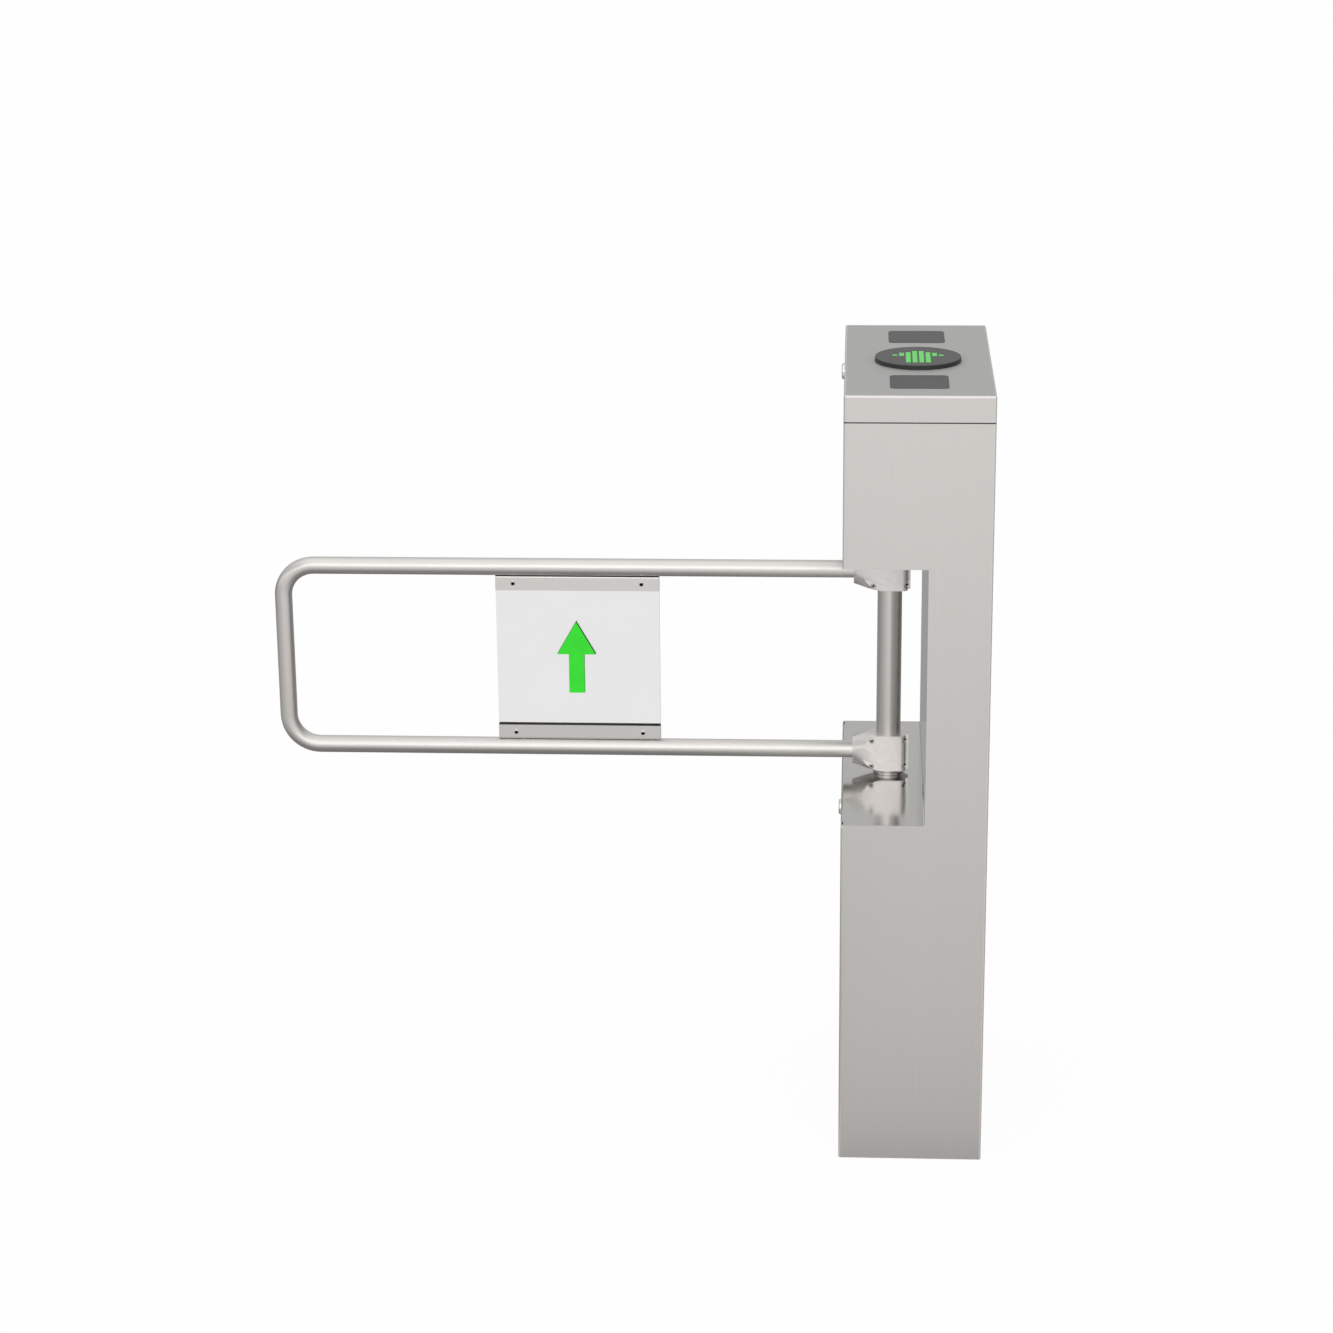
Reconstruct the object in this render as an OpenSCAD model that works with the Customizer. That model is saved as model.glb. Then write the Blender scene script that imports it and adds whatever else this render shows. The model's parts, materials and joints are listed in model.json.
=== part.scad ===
// Swing barrier gate: a folded stainless post with one swing arm, its drive and its control gear.
// The origin is the centre of the post's base. X runs to the right, Y away from the viewer, Z up.

/* [Post] */
// Width of the post
post_w = 180; // [170:1:220]
// Depth of the post from front to back
post_d = 395; // [380:1:450]
// Height of the post with its lid
post_h = 990; // [970:1:1100]
// Thickness of the post's folded sheet
sheet = 1.5; // [1.2:0.1:2]
// Outer radius of the post's folded edges
edge_r = 3; // [2.5:0.5:4]
// Width of the narrow flanges beside the panels
return_w = 12; // [10:1:16]
// Gap round a flush panel
panel_gap = 1; // [0.8:0.1:1.5]
// Thickness of the base plate
base_t = 6; // [5:1:10]
// Spacing of the anchor holes across the post
anchor_dx = 120; // [110:1:125]
// Spacing of the anchor holes from front to back
anchor_dy = 300; // [280:1:320]
// Diameter of an anchor hole
anchor_d = 14; // [12:1:16]
// Diameter of the cable entry
cable_d = 50; // [40:1:55]
// Distance of the cable entry in front of the centre
cable_y = 75; // [65:1:85]

/* [Notch] */
// Width of the notch from the left face
notch_w = 103; // [100:1:108]
// Height of the notch opening
notch_h = 327; // [320:1:340]
// Height of the head above the notch
head_h = 213; // [205:1:220]

/* [Arm] */
// Distance of the shaft from the left face
shaft_inset = 59; // [57:1:60]
// Diameter of the arm shaft
shaft_d = 31; // [29:1:32]
// Diameter of the shaft's upper journal
journal_d = 20; // [18:1:22]
// Diameter of the arm tube
tube_d = 22; // [20:1:24]
// Wall of the arm tube
tube_wall = 1.5; // [1.2:0.1:2]
// Reach from the shaft axis to the end tube's axis
arm_reach = 771; // [700:1:800]
// Height of the lower tube above the notch floor
arm_rise = 30; // [30:1:32]
// Distance between the two tubes' axes
arm_gap = 240; // [230:1:245]
// Bend radius of the tube's axis
arm_bend_r = 40; // [35:1:50]
// Radial clearance of a turning fit
running_fit = 0.05; // [0.02:0.01:0.08]

/* [Clamp] */
// Height of a split clamp
clamp_h = 47; // [45:1:49]
// Height of a clamp at its tube end
clamp_tip_h = 34; // [32:1:36]
// Length of a clamp from the shaft axis to its tube end
clamp_l = 45.5; // [44:0.5:50]
// Length of the full height part towards the tube
clamp_shoulder = 28; // [26:1:30]
// Length of a clamp's short ear
clamp_ear = 25.7; // [25:0.1:27]
// Radius of the boss round the shaft
boss_r = 24; // [23:0.5:25]
// Depth from the parting plane to the flat face
clamp_face = 18.5; // [18:0.1:19]
// Depth of the clamp's bolting flange
clamp_flange = 8; // [7:0.5:9]
// Half length of the oval pad
pad_rx = 34; // [32:0.5:36]
// Half height of the oval pad
pad_rz = 25; // [24:0.5:27]
// Extra size of the pad at its foot
pad_draft = 4; // [3:0.5:5]
// Wall of the tube socket
socket_wall = 3; // [2.5:0.5:4]
// Gap between the two halves
parting_gap = 0.6; // [0.4:0.1:1]
// Distance of the clamp screws from the shaft axis
screw_x = 21; // [20.5:0.1:21.5]
// Distance of the clamp screws above and below the tube's axis
screw_z = 16.5; // [16:0.1:17]
// Diameter of a clamp screw
screw_d = 3; // [2.5:0.5:4]

/* [Infill] */
// Distance from the shaft axis to the infill panel
infill_start = 291; // [280:1:320]
// Width of the infill panel
infill_w = 208; // [180:1:240]
// Thickness of the acrylic sheet
infill_t = 5; // [4:0.5:6]
// Height of the edge channels
channel_h = 19; // [17:0.5:24]
// Wall of the edge channels
channel_wall = 1.5; // [1:0.1:2]
// Gap between the acrylic and a channel
channel_gap = 1; // [0.6:0.1:1.5]
// Inset of the channel screws from the channel's end
channel_screw_inset = 22.5; // [15:0.5:35]
// Height of the arrow
arrow_h = 95; // [80:1:110]
// Width of the arrow's head
arrow_w = 49; // [40:1:60]
// Height of the arrow's head
arrow_head_h = 44.5; // [35:0.5:50]
// Width of the arrow's stem
arrow_stem_w = 19.6; // [15:0.1:25]
// Thickness of the arrow
arrow_t = 2; // [1:0.1:3]
// Distance of the arrow above the middle of the infill
arrow_rise = 3; // [0:0.5:8]
// Distance of the arrow to the left of the infill's middle
arrow_shift = 2; // [0:0.5:8]

/* [Lid] */
// Height of the lid's skirt
lid_h = 32; // [30:1:36]
// Thickness of the lid's sheet
lid_sheet = 1.2; // [1:0.1:1.2]
// Radius of the lid's top edges
lid_edge_r = 2.5; // [1.5:0.1:2.5]
// Seam between the lid and the post
lid_gap = 1.5; // [1.2:0.1:2]
// Width of a reader window
window_w = 70; // [64:0.5:76]
// Corner radius of a reader window
window_r = 6; // [4:0.5:10]
// Diameter of the indicator
indicator_d = 106; // [96:1:110]
// Height of the indicator above the lid
indicator_h = 5.6; // [4.5:0.1:8]
// Width of the indicator's rim over the lid's hole
indicator_lip = 8; // [6:0.5:10]
// Distance of the indicator in front of the middle
indicator_y = 9.4; // [5:0.1:12]
// Spacing of the indicator's light bars
bar_pitch = 8.1; // [7.5:0.1:8.5]
// Width of a light bar
bar_w = 5.8; // [4.5:0.1:6.3]

/* [Locks] */
// Diameter of a lock's head
lock_head_d = 20; // [19:0.5:21]
// Distance that a lock's head stands out
lock_head_t = 3.5; // [3:0.1:4]
// Diameter of a lock's body
lock_body_d = 16; // [15.5:0.5:16.5]
// Diameter of the turning plug
plug_d = 11.5; // [10:0.5:12]
// Reach of the lock's cam
cam_reach = 30; // [29:0.5:31]
// Width of the cam
cam_w = 12; // [11:0.5:13]
// Distance of the door's lock below the notch floor
door_lock_drop = 49; // [47:1:52]

/* [Drive] */
// Tooth module of the gear pair
tooth_module = 2; // [1.9:0.1:2]
// Teeth on the arm's gear
gear_teeth = 52; // [48:1:52]
// Teeth on the drive pinion
pinion_teeth = 18; // [17:1:20]
// Face width of the gears
gear_face = 12; // [10:1:14]
// Free play between meshing teeth
backlash = 0.3; // [0.2:0.05:0.5]
// Thickness of the drive's frame plates
frame_t = 6; // [5:1:8]
// Height between the frame plates
frame_gap = 50; // [48:1:54]
// Diameter of the gearbox
gearbox_d = 60; // [56:1:64]
// Height of the gearbox
gearbox_h = 36; // [30:1:38]
// Height of the motor
motor_h = 54; // [48:1:56]
// Height of the brake on top of the motor
brake_h = 16; // [12:1:18]

/* [Control gear] */
// Distance of the equipment plate from the right wall
equipment_off = 26; // [20:1:30]
// Height of the equipment plate
equipment_h = 350; // [330:1:360]
// Width of the equipment plate
equipment_w = 290; // [280:1:310]
// Thickness of the service door's hinge barrel
hinge_d = 6; // [5.5:0.5:6.5]

/* [Hidden] */
$fn = 64;
hull_fn = 32;
bend_steps = 5;
half = 1 / 2;
over = 1;
seat_gap = 0.3;

notch_floor = post_h - head_h - notch_h;
left = -post_w / 2;
right = post_w / 2;
front = -post_d / 2;
panel_y = post_d / 2 - return_w - panel_gap;
lid_low = post_h - lid_h;
wall_top = lid_low - lid_gap;
notch_right = left + notch_w;
notch_top = notch_floor + notch_h;
ceiling_top = notch_top + sheet;
fold_r = edge_r - sheet;

shaft_x = left + shaft_inset;
low_z = notch_floor + arm_rise;
high_z = low_z + arm_gap;
mid_z = low_z + arm_gap / 2;
shaft_r = shaft_d / 2;
journal_r = journal_d / 2;
tube_r = tube_d / 2;

frame_low = ceiling_top + frame_t;
frame_high = frame_low + frame_gap;
frame_top = frame_high + frame_t;
pillar_d = 12;
pillar_near = 46;
pillar_far = 99;
pillar_x0 = shaft_x - pillar_near;
pillar_x1 = shaft_x + pillar_far;
pillar_y = 72;
frame_inset = 3;
frame_x0 = left + sheet + frame_inset;
frame_x1 = pillar_x1 + pillar_d;
frame_w = 2 * pillar_y + 3 * pillar_d;

gear_r = tooth_module * gear_teeth / 2;
pinion_r = tooth_module * pinion_teeth / 2;
motor_x = shaft_x + gear_r + pinion_r;
gear_rise = 21;
gear_z = frame_low + gear_rise;
hub_wall = 12;
hub_step = 2;
hub_r = journal_r + hub_wall;
hub_h = gear_face + 4 * hub_step;
shaft_room = 1;
end_play = 1;
output_d = 12;
output_r = output_d / 2;

bearing_wall = 12.5;
bearing_r = shaft_r + bearing_wall;
bearing_h = 13;
bearing_shell = 5.5;
bearing_floor = 3;
flange_margin = 15;
flange_w = 2 * (bearing_r + flange_margin);
flange_t = 6;
bearing_bolt_d = 8;
bearing_drop = 5;
collar_wall = 2;
collar_r = shaft_r + collar_wall;
collar_play = 0.3;
lower_bearing_top = notch_floor - sheet - bearing_drop;
shaft_tail = 4;
shaft_low = lower_bearing_top - bearing_h - bearing_floor - shaft_tail;
shoulder_z = gear_z - hub_step;

lid_axis = [right, lid_low - lid_gap / 2];
hinge_r = hinge_d / 2;
hinge_pin_r = hinge_r / 2;
hinge_play = 0.5;
leaf_t = 1.5;
leaf_l = 22;
lid_hinge_l = 240;
door_hinge_l = 300;
knuckles = 7;
door_hinge_r = 2.5;
door_axis_z = 31;
door_axis = [left + door_hinge_r, door_axis_z];
door_low = door_axis[1] + door_hinge_r + hinge_play;
sill_top = door_axis[1] - door_hinge_r - hinge_play;
floor_flange = 16;
door_top = notch_floor - floor_flange - panel_gap;
door_depth = 11;

rim_rise = 4;
rim_drop = 18;
rim_top = lid_low + rim_rise;
rim_low = wall_top - rim_drop;

lock_front = left - lock_head_t;
lid_lock_z = lid_low + lid_h / 2;
door_lock_z = notch_floor - door_lock_drop;
lock_nut_w = 19;
lock_nut_t = 4;
lock_depth = 14;
lock_back = left + lock_depth;
cam_gap = 0.5;
cam_x = lock_back + cam_gap;
cam_t = 2;
cam_hook = 8;
cam_hook_l = 10;
keyway = [1.6, 7, 2.5];

equipment_x = right - sheet - equipment_off;
equipment_z = 60;
board_rise = 165;
rail_rise = 80;
spacer_h = 8;
spacer_r = 3;
spacer_bore_r = 1.6;

// Bent sheet: an outline of even thickness along a path, with round folds
function unit(v) = v / norm(v);
function leftward(v) = [-v[1], v[0]];
function turned(v, a) = [v[0] * cos(a) - v[1] * sin(a), v[0] * sin(a) + v[1] * cos(a)];
function fold(a, p, b, t, r, side) =
    let (d = unit(p - a), e = unit(b - p),
        phi = atan2(d[0] * e[1] - d[1] * e[0], d * e),
        s = sign(phi),
        rc = r + t / 2,
        c = p - rc * tan(abs(phi) / 2) * d + s * rc * leftward(d))
    [for (i = [0:bend_steps]) c + (rc - s * side * t / 2) * turned(-s * leftward(d), phi * i / bend_steps)];
function edge_line(path, t, r, side) =
    let (n = len(path) - 1)
    concat([path[0] + side * t / 2 * leftward(unit(path[1] - path[0]))],
        [for (k = [1:1:n - 1]) each fold(path[k - 1], path[k], path[k + 1], t, r, side)],
        [path[n] + side * t / 2 * leftward(unit(path[n] - path[n - 1]))]);
function reversed(v) = [for (i = [len(v) - 1:-1:0]) v[i]];

module bent(path, t, r) {
    polygon(concat(edge_line(path, t, r, 1), reversed(edge_line(path, t, r, -1))));
}

// Rectangle from corner a to corner b with round corners
module round_rect(a, b, r) {
    translate([a[0] + r, a[1]]) square([b[0] - a[0] - 2 * r, b[1] - a[1]]);
    translate([a[0], a[1] + r]) square([b[0] - a[0], b[1] - a[1] - 2 * r]);
    for (x = [a[0] + r, b[0] - r], y = [a[1] + r, b[1] - r]) translate([x, y]) circle(r);
}

// Block from corner a to corner b
module block(a, b) {
    translate(a) cube(b - a);
}

// Profile in X and Z, extruded along Y from y0 to y1
module along_y(y0, y1) {
    translate([0, y1, 0]) rotate([90, 0, 0]) linear_extrude(y1 - y0) children();
}

// Profile in Y and Z, extruded along X from x0 to x1
module along_x(x0, x1) {
    translate([x0, 0, 0]) rotate([90, 0, 90]) linear_extrude(x1 - x0) children();
}

// Cylinder along X from x0 to x1
module rod_x(x0, x1, r) {
    translate([x0, 0, 0]) rotate([0, 90, 0]) cylinder(r = r, h = x1 - x0);
}

// Cylinder along Y from y0 to y1
module rod_y(y0, y1, r) {
    translate([0, y1, 0]) rotate([90, 0, 0]) cylinder(r = r, h = y1 - y0);
}

// Folded sheets of the post
module outer_wrap() {
    color([0.79, 0.77, 0.75]) difference() {
        linear_extrude(wall_top) difference() {
            round_rect([left, front], [right, -front], edge_r);
            round_rect([left + sheet, front + sheet], [right - sheet, -front - sheet], fold_r);
            translate([left - over, -panel_y - panel_gap])
                square([sheet + 2 * over, 2 * (panel_y + panel_gap)]);
        }
        block([left - over, front - over, notch_floor], [notch_right, -front + over, notch_top]);
        block([right - sheet - over, -lid_hinge_l / 2 - hinge_play, lid_axis[1] - hinge_r - hinge_play],
            [right + over, lid_hinge_l / 2 + hinge_play, wall_top + over]);
    }
}

module notch_liner() {
    inner_y = -front - sheet;
    x0 = left + sheet / 2;
    x1 = notch_right + sheet / 2;
    z0 = notch_floor - sheet / 2;
    z1 = notch_top + sheet / 2;
    color([0.74, 0.72, 0.71]) difference() {
        union() {
            along_y(-inner_y, inner_y)
                bent([[x0 + return_w, z0], [x1, z0], [x1, z1], [x0 + return_w, z1]], sheet, sheet);
            along_y(-panel_y, panel_y)
                bent([[x0, notch_floor - floor_flange], [x0, z0], [x0 + return_w, z0]], sheet, sheet);
            along_y(-panel_y, panel_y)
                bent([[x0 + return_w, z1], [x0 + sheet, z1], [x0 + sheet, z1 + floor_flange]], sheet, sheet);
            for (z = [notch_floor - sheet, notch_top], y = [-inner_y, panel_y])
                block([left + edge_r, y, z], [x0 + return_w, y + inner_y - panel_y, z + sheet]);
        }
        translate([shaft_x, 0, notch_floor - sheet - over])
            cylinder(r = collar_r + shaft_room, h = sheet + 2 * over);
        translate([shaft_x, 0, notch_top - over])
            cylinder(r = shaft_r + shaft_room, h = sheet + 2 * over);
    }
}

module head_side_panel() {
    color([0.78, 0.76, 0.74])
        block([left, -panel_y, notch_top], [left + sheet, panel_y, wall_top]);
}

// Rim inside the top edge, which the lid's skirt goes round
module rim_frame() {
    x = left + sheet * 3 / 2;
    y = -front - sheet * 3 / 2;
    color([0.55, 0.55, 0.55]) translate([0, 0, rim_low]) linear_extrude(rim_top - rim_low)
        bent([[right - sheet - leaf_t - seat_gap, -y], [x, -y], [x, y],
            [right - sheet - leaf_t - seat_gap, y]], sheet, fold_r);
}

module base_plate() {
    inner_y = -front - sheet;
    color([0.5, 0.5, 0.5]) difference() {
        union() {
            linear_extrude(base_t)
                round_rect([left + sheet, -inner_y], [right - sheet, inner_y], fold_r);
            block([left, -panel_y, 0], [shaft_x, panel_y, base_t]);
        }
        for (x = [-half, half], y = [-half, half])
            translate([x * anchor_dx, y * anchor_dy, -over])
                cylinder(d = anchor_d, h = base_t + 2 * over);
        translate([0, -cable_y, -over]) cylinder(d = cable_d, h = base_t + 2 * over);
    }
}

module door_sill() {
    x = left + sheet / 2;
    z = base_t + sheet / 2;
    color([0.77, 0.75, 0.73]) along_y(-panel_y, panel_y)
        bent([[x, sill_top], [x, z], [x + return_w, z]], sheet, sheet);
}

// Hinge leaf whose knuckles stand at every other place along the barrel, from the first one given.
// The leaf lies in the wall's plane, at an offset from the axis, and side is 1 above or -1 below.
module hinge_half(length, r, offset, t, first, side) {
    pitch = length / knuckles;
    reach = r + hinge_play;
    y0 = -length / 2;
    difference() {
        union() {
            translate([offset, y0 + hinge_play, side > 0 ? 0 : -leaf_l])
                cube([t, length - 2 * hinge_play, leaf_l]);
            for (k = [first:2:knuckles - 1])
                rod_y(y0 + k * pitch + hinge_play, y0 + (k + 1) * pitch - hinge_play, r);
        }
        for (k = [1 - first:2:knuckles - 1])
            translate([-reach, y0 + k * pitch, -reach]) cube([2 * reach, pitch, 2 * reach]);
        rod_y(-length, length, r / 2 + running_fit);
    }
}

module lid_hinge_leaf() {
    color([0.7, 0.7, 0.7]) translate([lid_axis[0], 0, lid_axis[1]])
        hinge_half(lid_hinge_l, hinge_r, -sheet - leaf_t, leaf_t, 0, -1);
}

module lid_hinge_wing() {
    color([0.7, 0.7, 0.7]) translate([lid_axis[0], 0, lid_axis[1]])
        hinge_half(lid_hinge_l, hinge_r, -lid_sheet - leaf_t, leaf_t, 1, 1);
}

module door_hinge_leaf() {
    color([0.7, 0.7, 0.7]) translate([door_axis[0], 0, door_axis[1]])
        hinge_half(door_hinge_l, door_hinge_r, sheet - door_hinge_r, leaf_t, 0, -1);
}

module door_hinge_wing() {
    color([0.7, 0.7, 0.7]) translate([door_axis[0], 0, door_axis[1]])
        hinge_half(door_hinge_l, door_hinge_r, sheet - door_hinge_r, leaf_t, 1, 1);
}

module hinge_pins() {
    color([0.6, 0.6, 0.6]) {
        translate([lid_axis[0], 0, lid_axis[1]]) rod_y(-lid_hinge_l / 2, lid_hinge_l / 2, hinge_pin_r);
        translate([door_axis[0], 0, door_axis[1]])
            rod_y(-door_hinge_l / 2, door_hinge_l / 2, door_hinge_r / 2);
    }
}

// Catches that the two lock cams turn behind
strike_w = 9;
strike_gap = 1.5;
module lock_strikes() {
    lip_z = lid_lock_z - cam_reach + cam_hook + cam_gap;
    lip_y = -cam_w / 2 - strike_gap;
    wall_x = left + 2 * sheet + sheet / 2;
    drop_x = cam_x - sheet - cam_gap;
    x0 = left + sheet + sheet / 2;
    z0 = door_top + panel_gap + sheet;
    color([0.6, 0.6, 0.6]) {
        along_y(lip_y - strike_w, lip_y)
            bent([[wall_x, rim_low], [wall_x, lip_z + sheet / 2], [cam_x + 2 * cam_t, lip_z + sheet / 2]],
                sheet, sheet / 2);
        along_y(-cam_w, cam_w)
            bent([[x0, notch_floor - 3 * sheet], [x0, z0], [drop_x, z0],
                [drop_x, door_lock_z + cam_reach / 2]], sheet, sheet / 2);
    }
}

// Shaft bearings and their housings
module bearing_ring(bore_r, outer_r, h) {
    groove = (outer_r - bore_r) / 5;
    rotate_extrude() difference() {
        translate([bore_r + running_fit, 0]) square([outer_r - bore_r - running_fit, h]);
        for (z = [0, h]) translate([(bore_r + outer_r) / 2, z])
            square([groove, groove], center = true);
    }
}

module bearing_cup() {
    difference() {
        union() {
            linear_extrude(flange_t)
                round_rect([-flange_w / 2, -flange_w / 2], [flange_w / 2, flange_w / 2], 2 * flange_t);
            cylinder(r = bearing_r + bearing_shell, h = bearing_drop + bearing_h + bearing_floor);
        }
        translate([0, 0, -over]) cylinder(r = bearing_r, h = bearing_drop + bearing_h + over);
        cylinder(r = shaft_r + shaft_room, h = 3 * bearing_h);
        for (x = [-1, 1], y = [-1, 1])
            translate([x, y, 0] * (flange_w / 2 - bearing_bolt_d) - [0, 0, over])
                cylinder(d = bearing_bolt_d + 2 * seat_gap, h = 2 * flange_t);
    }
}

module lower_bearing_housing() {
    color([0.45, 0.46, 0.48]) translate([shaft_x, 0, notch_floor - sheet]) mirror([0, 0, 1]) bearing_cup();
}

module lower_bearing() {
    color([0.8, 0.8, 0.82]) translate([shaft_x, 0, lower_bearing_top - bearing_h])
        bearing_ring(shaft_r, bearing_r, bearing_h);
}

upper_ring_h = bearing_h + bearing_floor;
module upper_bearing_housing() {
    color([0.45, 0.46, 0.48]) translate([shaft_x, 0, frame_low]) difference() {
        cylinder(r = bearing_r + bearing_shell, h = upper_ring_h);
        translate([0, 0, bearing_floor]) cylinder(r = bearing_r, h = upper_ring_h);
        translate([0, 0, -over]) cylinder(r = shaft_r + shaft_room, h = upper_ring_h);
    }
}

module upper_bearing() {
    color([0.8, 0.8, 0.82]) translate([shaft_x, 0, frame_low + bearing_floor])
        bearing_ring(shaft_r, bearing_r, bearing_h);
}

top_bearing_wall = 11;
top_bearing_r = journal_r + top_bearing_wall;
top_bearing_h = 12;
module top_bearing() {
    color([0.8, 0.8, 0.82]) translate([shaft_x, 0, frame_high])
        bearing_ring(journal_r, top_bearing_r, top_bearing_h);
}

// Frame of the drive: two plates on four pillars
module frame_plate() {
    linear_extrude(frame_t)
        round_rect([frame_x0, -frame_w / 2], [frame_x1, frame_w / 2], frame_t);
}

module at_pillars() {
    for (x = [pillar_x0, pillar_x1], y = [-pillar_y, pillar_y]) translate([x, y, 0]) children();
}

module drive_base_plate() {
    color([0.62, 0.63, 0.65]) difference() {
        translate([0, 0, ceiling_top]) frame_plate();
        translate([shaft_x, 0, ceiling_top - over]) cylinder(r = shaft_r + shaft_room, h = frame_t + 2 * over);
        translate([motor_x, 0, ceiling_top - over])
            cylinder(r = output_r + running_fit, h = frame_t + 2 * over);
    }
}

module drive_top_plate() {
    color([0.62, 0.63, 0.65]) difference() {
        translate([0, 0, frame_high]) frame_plate();
        translate([shaft_x, 0, frame_high - over]) cylinder(r = top_bearing_r, h = frame_t + 2 * over);
        translate([motor_x, 0, frame_high - over]) cylinder(r = output_r + shaft_room, h = frame_t + 2 * over);
    }
}

module drive_pillars() {
    color([0.7, 0.7, 0.72]) at_pillars() translate([0, 0, frame_low])
        cylinder(d = pillar_d, h = frame_gap);
}

hex_ratio = 1.6;
module bolt_head(d, h) {
    cylinder(d = hex_ratio * d, h = h, $fn = 6);
}

module frame_bolts() {
    head = 5;
    color([0.55, 0.55, 0.57]) {
        at_pillars() translate([0, 0, frame_top]) bolt_head(pillar_d / 2, head);
        for (x = [-1, 1], y = [-1, 1])
            translate([shaft_x, 0, notch_floor - sheet - flange_t - head]
                + [x, y, 0] * (flange_w / 2 - bearing_bolt_d)) {
                bolt_head(bearing_bolt_d, head);
                cylinder(d = bearing_bolt_d, h = head + flange_t);
            }
    }
}

// Gear motor with its brake, standing on the top plate
bore_depth = 11;
module gearbox() {
    rib = 2;
    color([0.5, 0.5, 0.53]) translate([motor_x, 0, frame_top]) difference() {
        union() {
            cylinder(d = gearbox_d, h = gearbox_h);
            linear_extrude(frame_t)
                round_rect([-gearbox_d / 2, -gearbox_d / 2], [gearbox_d / 2, gearbox_d / 2], pillar_d);
            for (z = [1, 2, 3]) translate([0, 0, z * gearbox_h / 4])
                cylinder(d = gearbox_d + rib, h = rib);
        }
        translate([0, 0, -over]) cylinder(r = output_r + running_fit, h = bore_depth + over);
    }
}

fin_t = 2;
module motor() {
    fins = 12;
    body_r = gearbox_d / 2 - 2 * fin_t;
    color([0.2, 0.2, 0.22]) translate([motor_x, 0, frame_top + gearbox_h]) {
        cylinder(r = body_r, h = motor_h);
        for (k = [0:fins - 1]) rotate(k * 360 / fins)
            translate([0, -fin_t / 2, fin_t]) cube([body_r + fin_t, fin_t, motor_h - 2 * fin_t]);
    }
}

module motor_brake() {
    color([0.35, 0.35, 0.38]) translate([motor_x, 0, frame_top + gearbox_h + motor_h]) difference() {
        cylinder(d = gearbox_d - pillar_d, h = brake_h);
        for (k = [0:2]) rotate(k * 120) translate([gearbox_d / 3, 0, brake_h - fin_t])
            cylinder(r = fin_t, h = 2 * fin_t);
    }
}

// Fork sensors that the flag passes through at both ends and in the middle of the swing
flag_r = 31;
flag_t = 2;
flag_gap = 3;
flag_z = frame_high + top_bearing_h + flag_gap;
module limit_sensors() {
    fork = [12, 10, 16];
    slot = 4;
    color([0.1, 0.1, 0.1]) for (a = [90, 180, 270]) translate([shaft_x, 0, frame_top]) rotate(a)
        translate([flag_r - fork[0] / 4, -fork[1] / 2, 0]) difference() {
            cube(fork);
            translate([-over, -over, flag_z - frame_top - (slot - flag_t) / 2])
                cube([fork[0] * 3 / 4, fork[1] + 2 * over, slot]);
        }
}

module limit_flag() {
    boss_wall = 5;
    boss_h = 2 * flag_t;
    notch = [6, 4];
    color([0.75, 0.75, 0.77]) translate([shaft_x, 0, flag_z]) difference() {
        union() {
            cylinder(r = flag_r, h = flag_t);
            cylinder(r = journal_r + boss_wall, h = boss_h);
        }
        translate([0, 0, -over]) cylinder(r = journal_r, h = 2 * boss_h);
        rotate(180) translate([flag_r - notch[0], -notch[1] / 2, -over])
            cube([2 * notch[0], notch[1], flag_t + 2 * over]);
    }
}

// Involute gear pair
pressure = 20;
root_ratio = 1.25;
function involute(base, a) = base * [cos(a) + a * PI / 180 * sin(a), sin(a) - a * PI / 180 * cos(a)];
function involute_angle(base, r) = sqrt(pow(r / base, 2) - 1) * 180 / PI;
function flank(base, r0, r1, steps) =
    [for (i = [0:steps]) involute(base, involute_angle(base, r0 + (r1 - r0) * i / steps))];
function tooth(teeth, m) =
    let (pitch_r = m * teeth / 2,
        base = pitch_r * cos(pressure),
        root = pitch_r - root_ratio * m,
        start = max(base, root),
        at_pitch = involute(base, involute_angle(base, pitch_r)),
        half_tooth = 90 / teeth - backlash / 4 / pitch_r * 180 / PI,
        shift = half_tooth + atan2(at_pitch[1], at_pitch[0]),
        side = [for (p = flank(base, start, pitch_r + m, 5)) turned([p[0], -p[1]], shift)],
        foot = root * unit(side[0]))
    concat([[foot[0], -foot[1]]], [for (p = side) [p[0], -p[1]]], reversed(side), [foot]);
function gear_outline(teeth, m) =
    [for (k = [0:teeth - 1], p = tooth(teeth, m)) turned(p, k * 360 / teeth)];

module drive_gear() {
    holes = 6;
    hole_r = 8;
    color([0.66, 0.66, 0.68]) translate([shaft_x, 0, gear_z]) difference() {
        union() {
            linear_extrude(gear_face) polygon(gear_outline(gear_teeth, tooth_module));
            translate([0, 0, shoulder_z - gear_z]) cylinder(r = hub_r, h = hub_h);
        }
        translate([0, 0, -hub_h]) cylinder(r = journal_r, h = 3 * hub_h);
        for (k = [0:holes - 1]) rotate((k + half) * 360 / holes)
            translate([(hub_r + gear_r) / 2, 0, -over]) cylinder(r = hole_r, h = gear_face + 2 * over);
    }
}

module drive_pinion() {
    low = ceiling_top + end_play;
    high = frame_top + bore_depth - end_play;
    color([0.7, 0.7, 0.72]) translate([motor_x, 0, 0]) {
        translate([0, 0, gear_z - end_play]) linear_extrude(gear_face + 2 * end_play)
            rotate(180 / pinion_teeth) polygon(gear_outline(pinion_teeth, tooth_module));
        translate([0, 0, low]) cylinder(r = output_r, h = high - low);
    }
}

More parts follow.
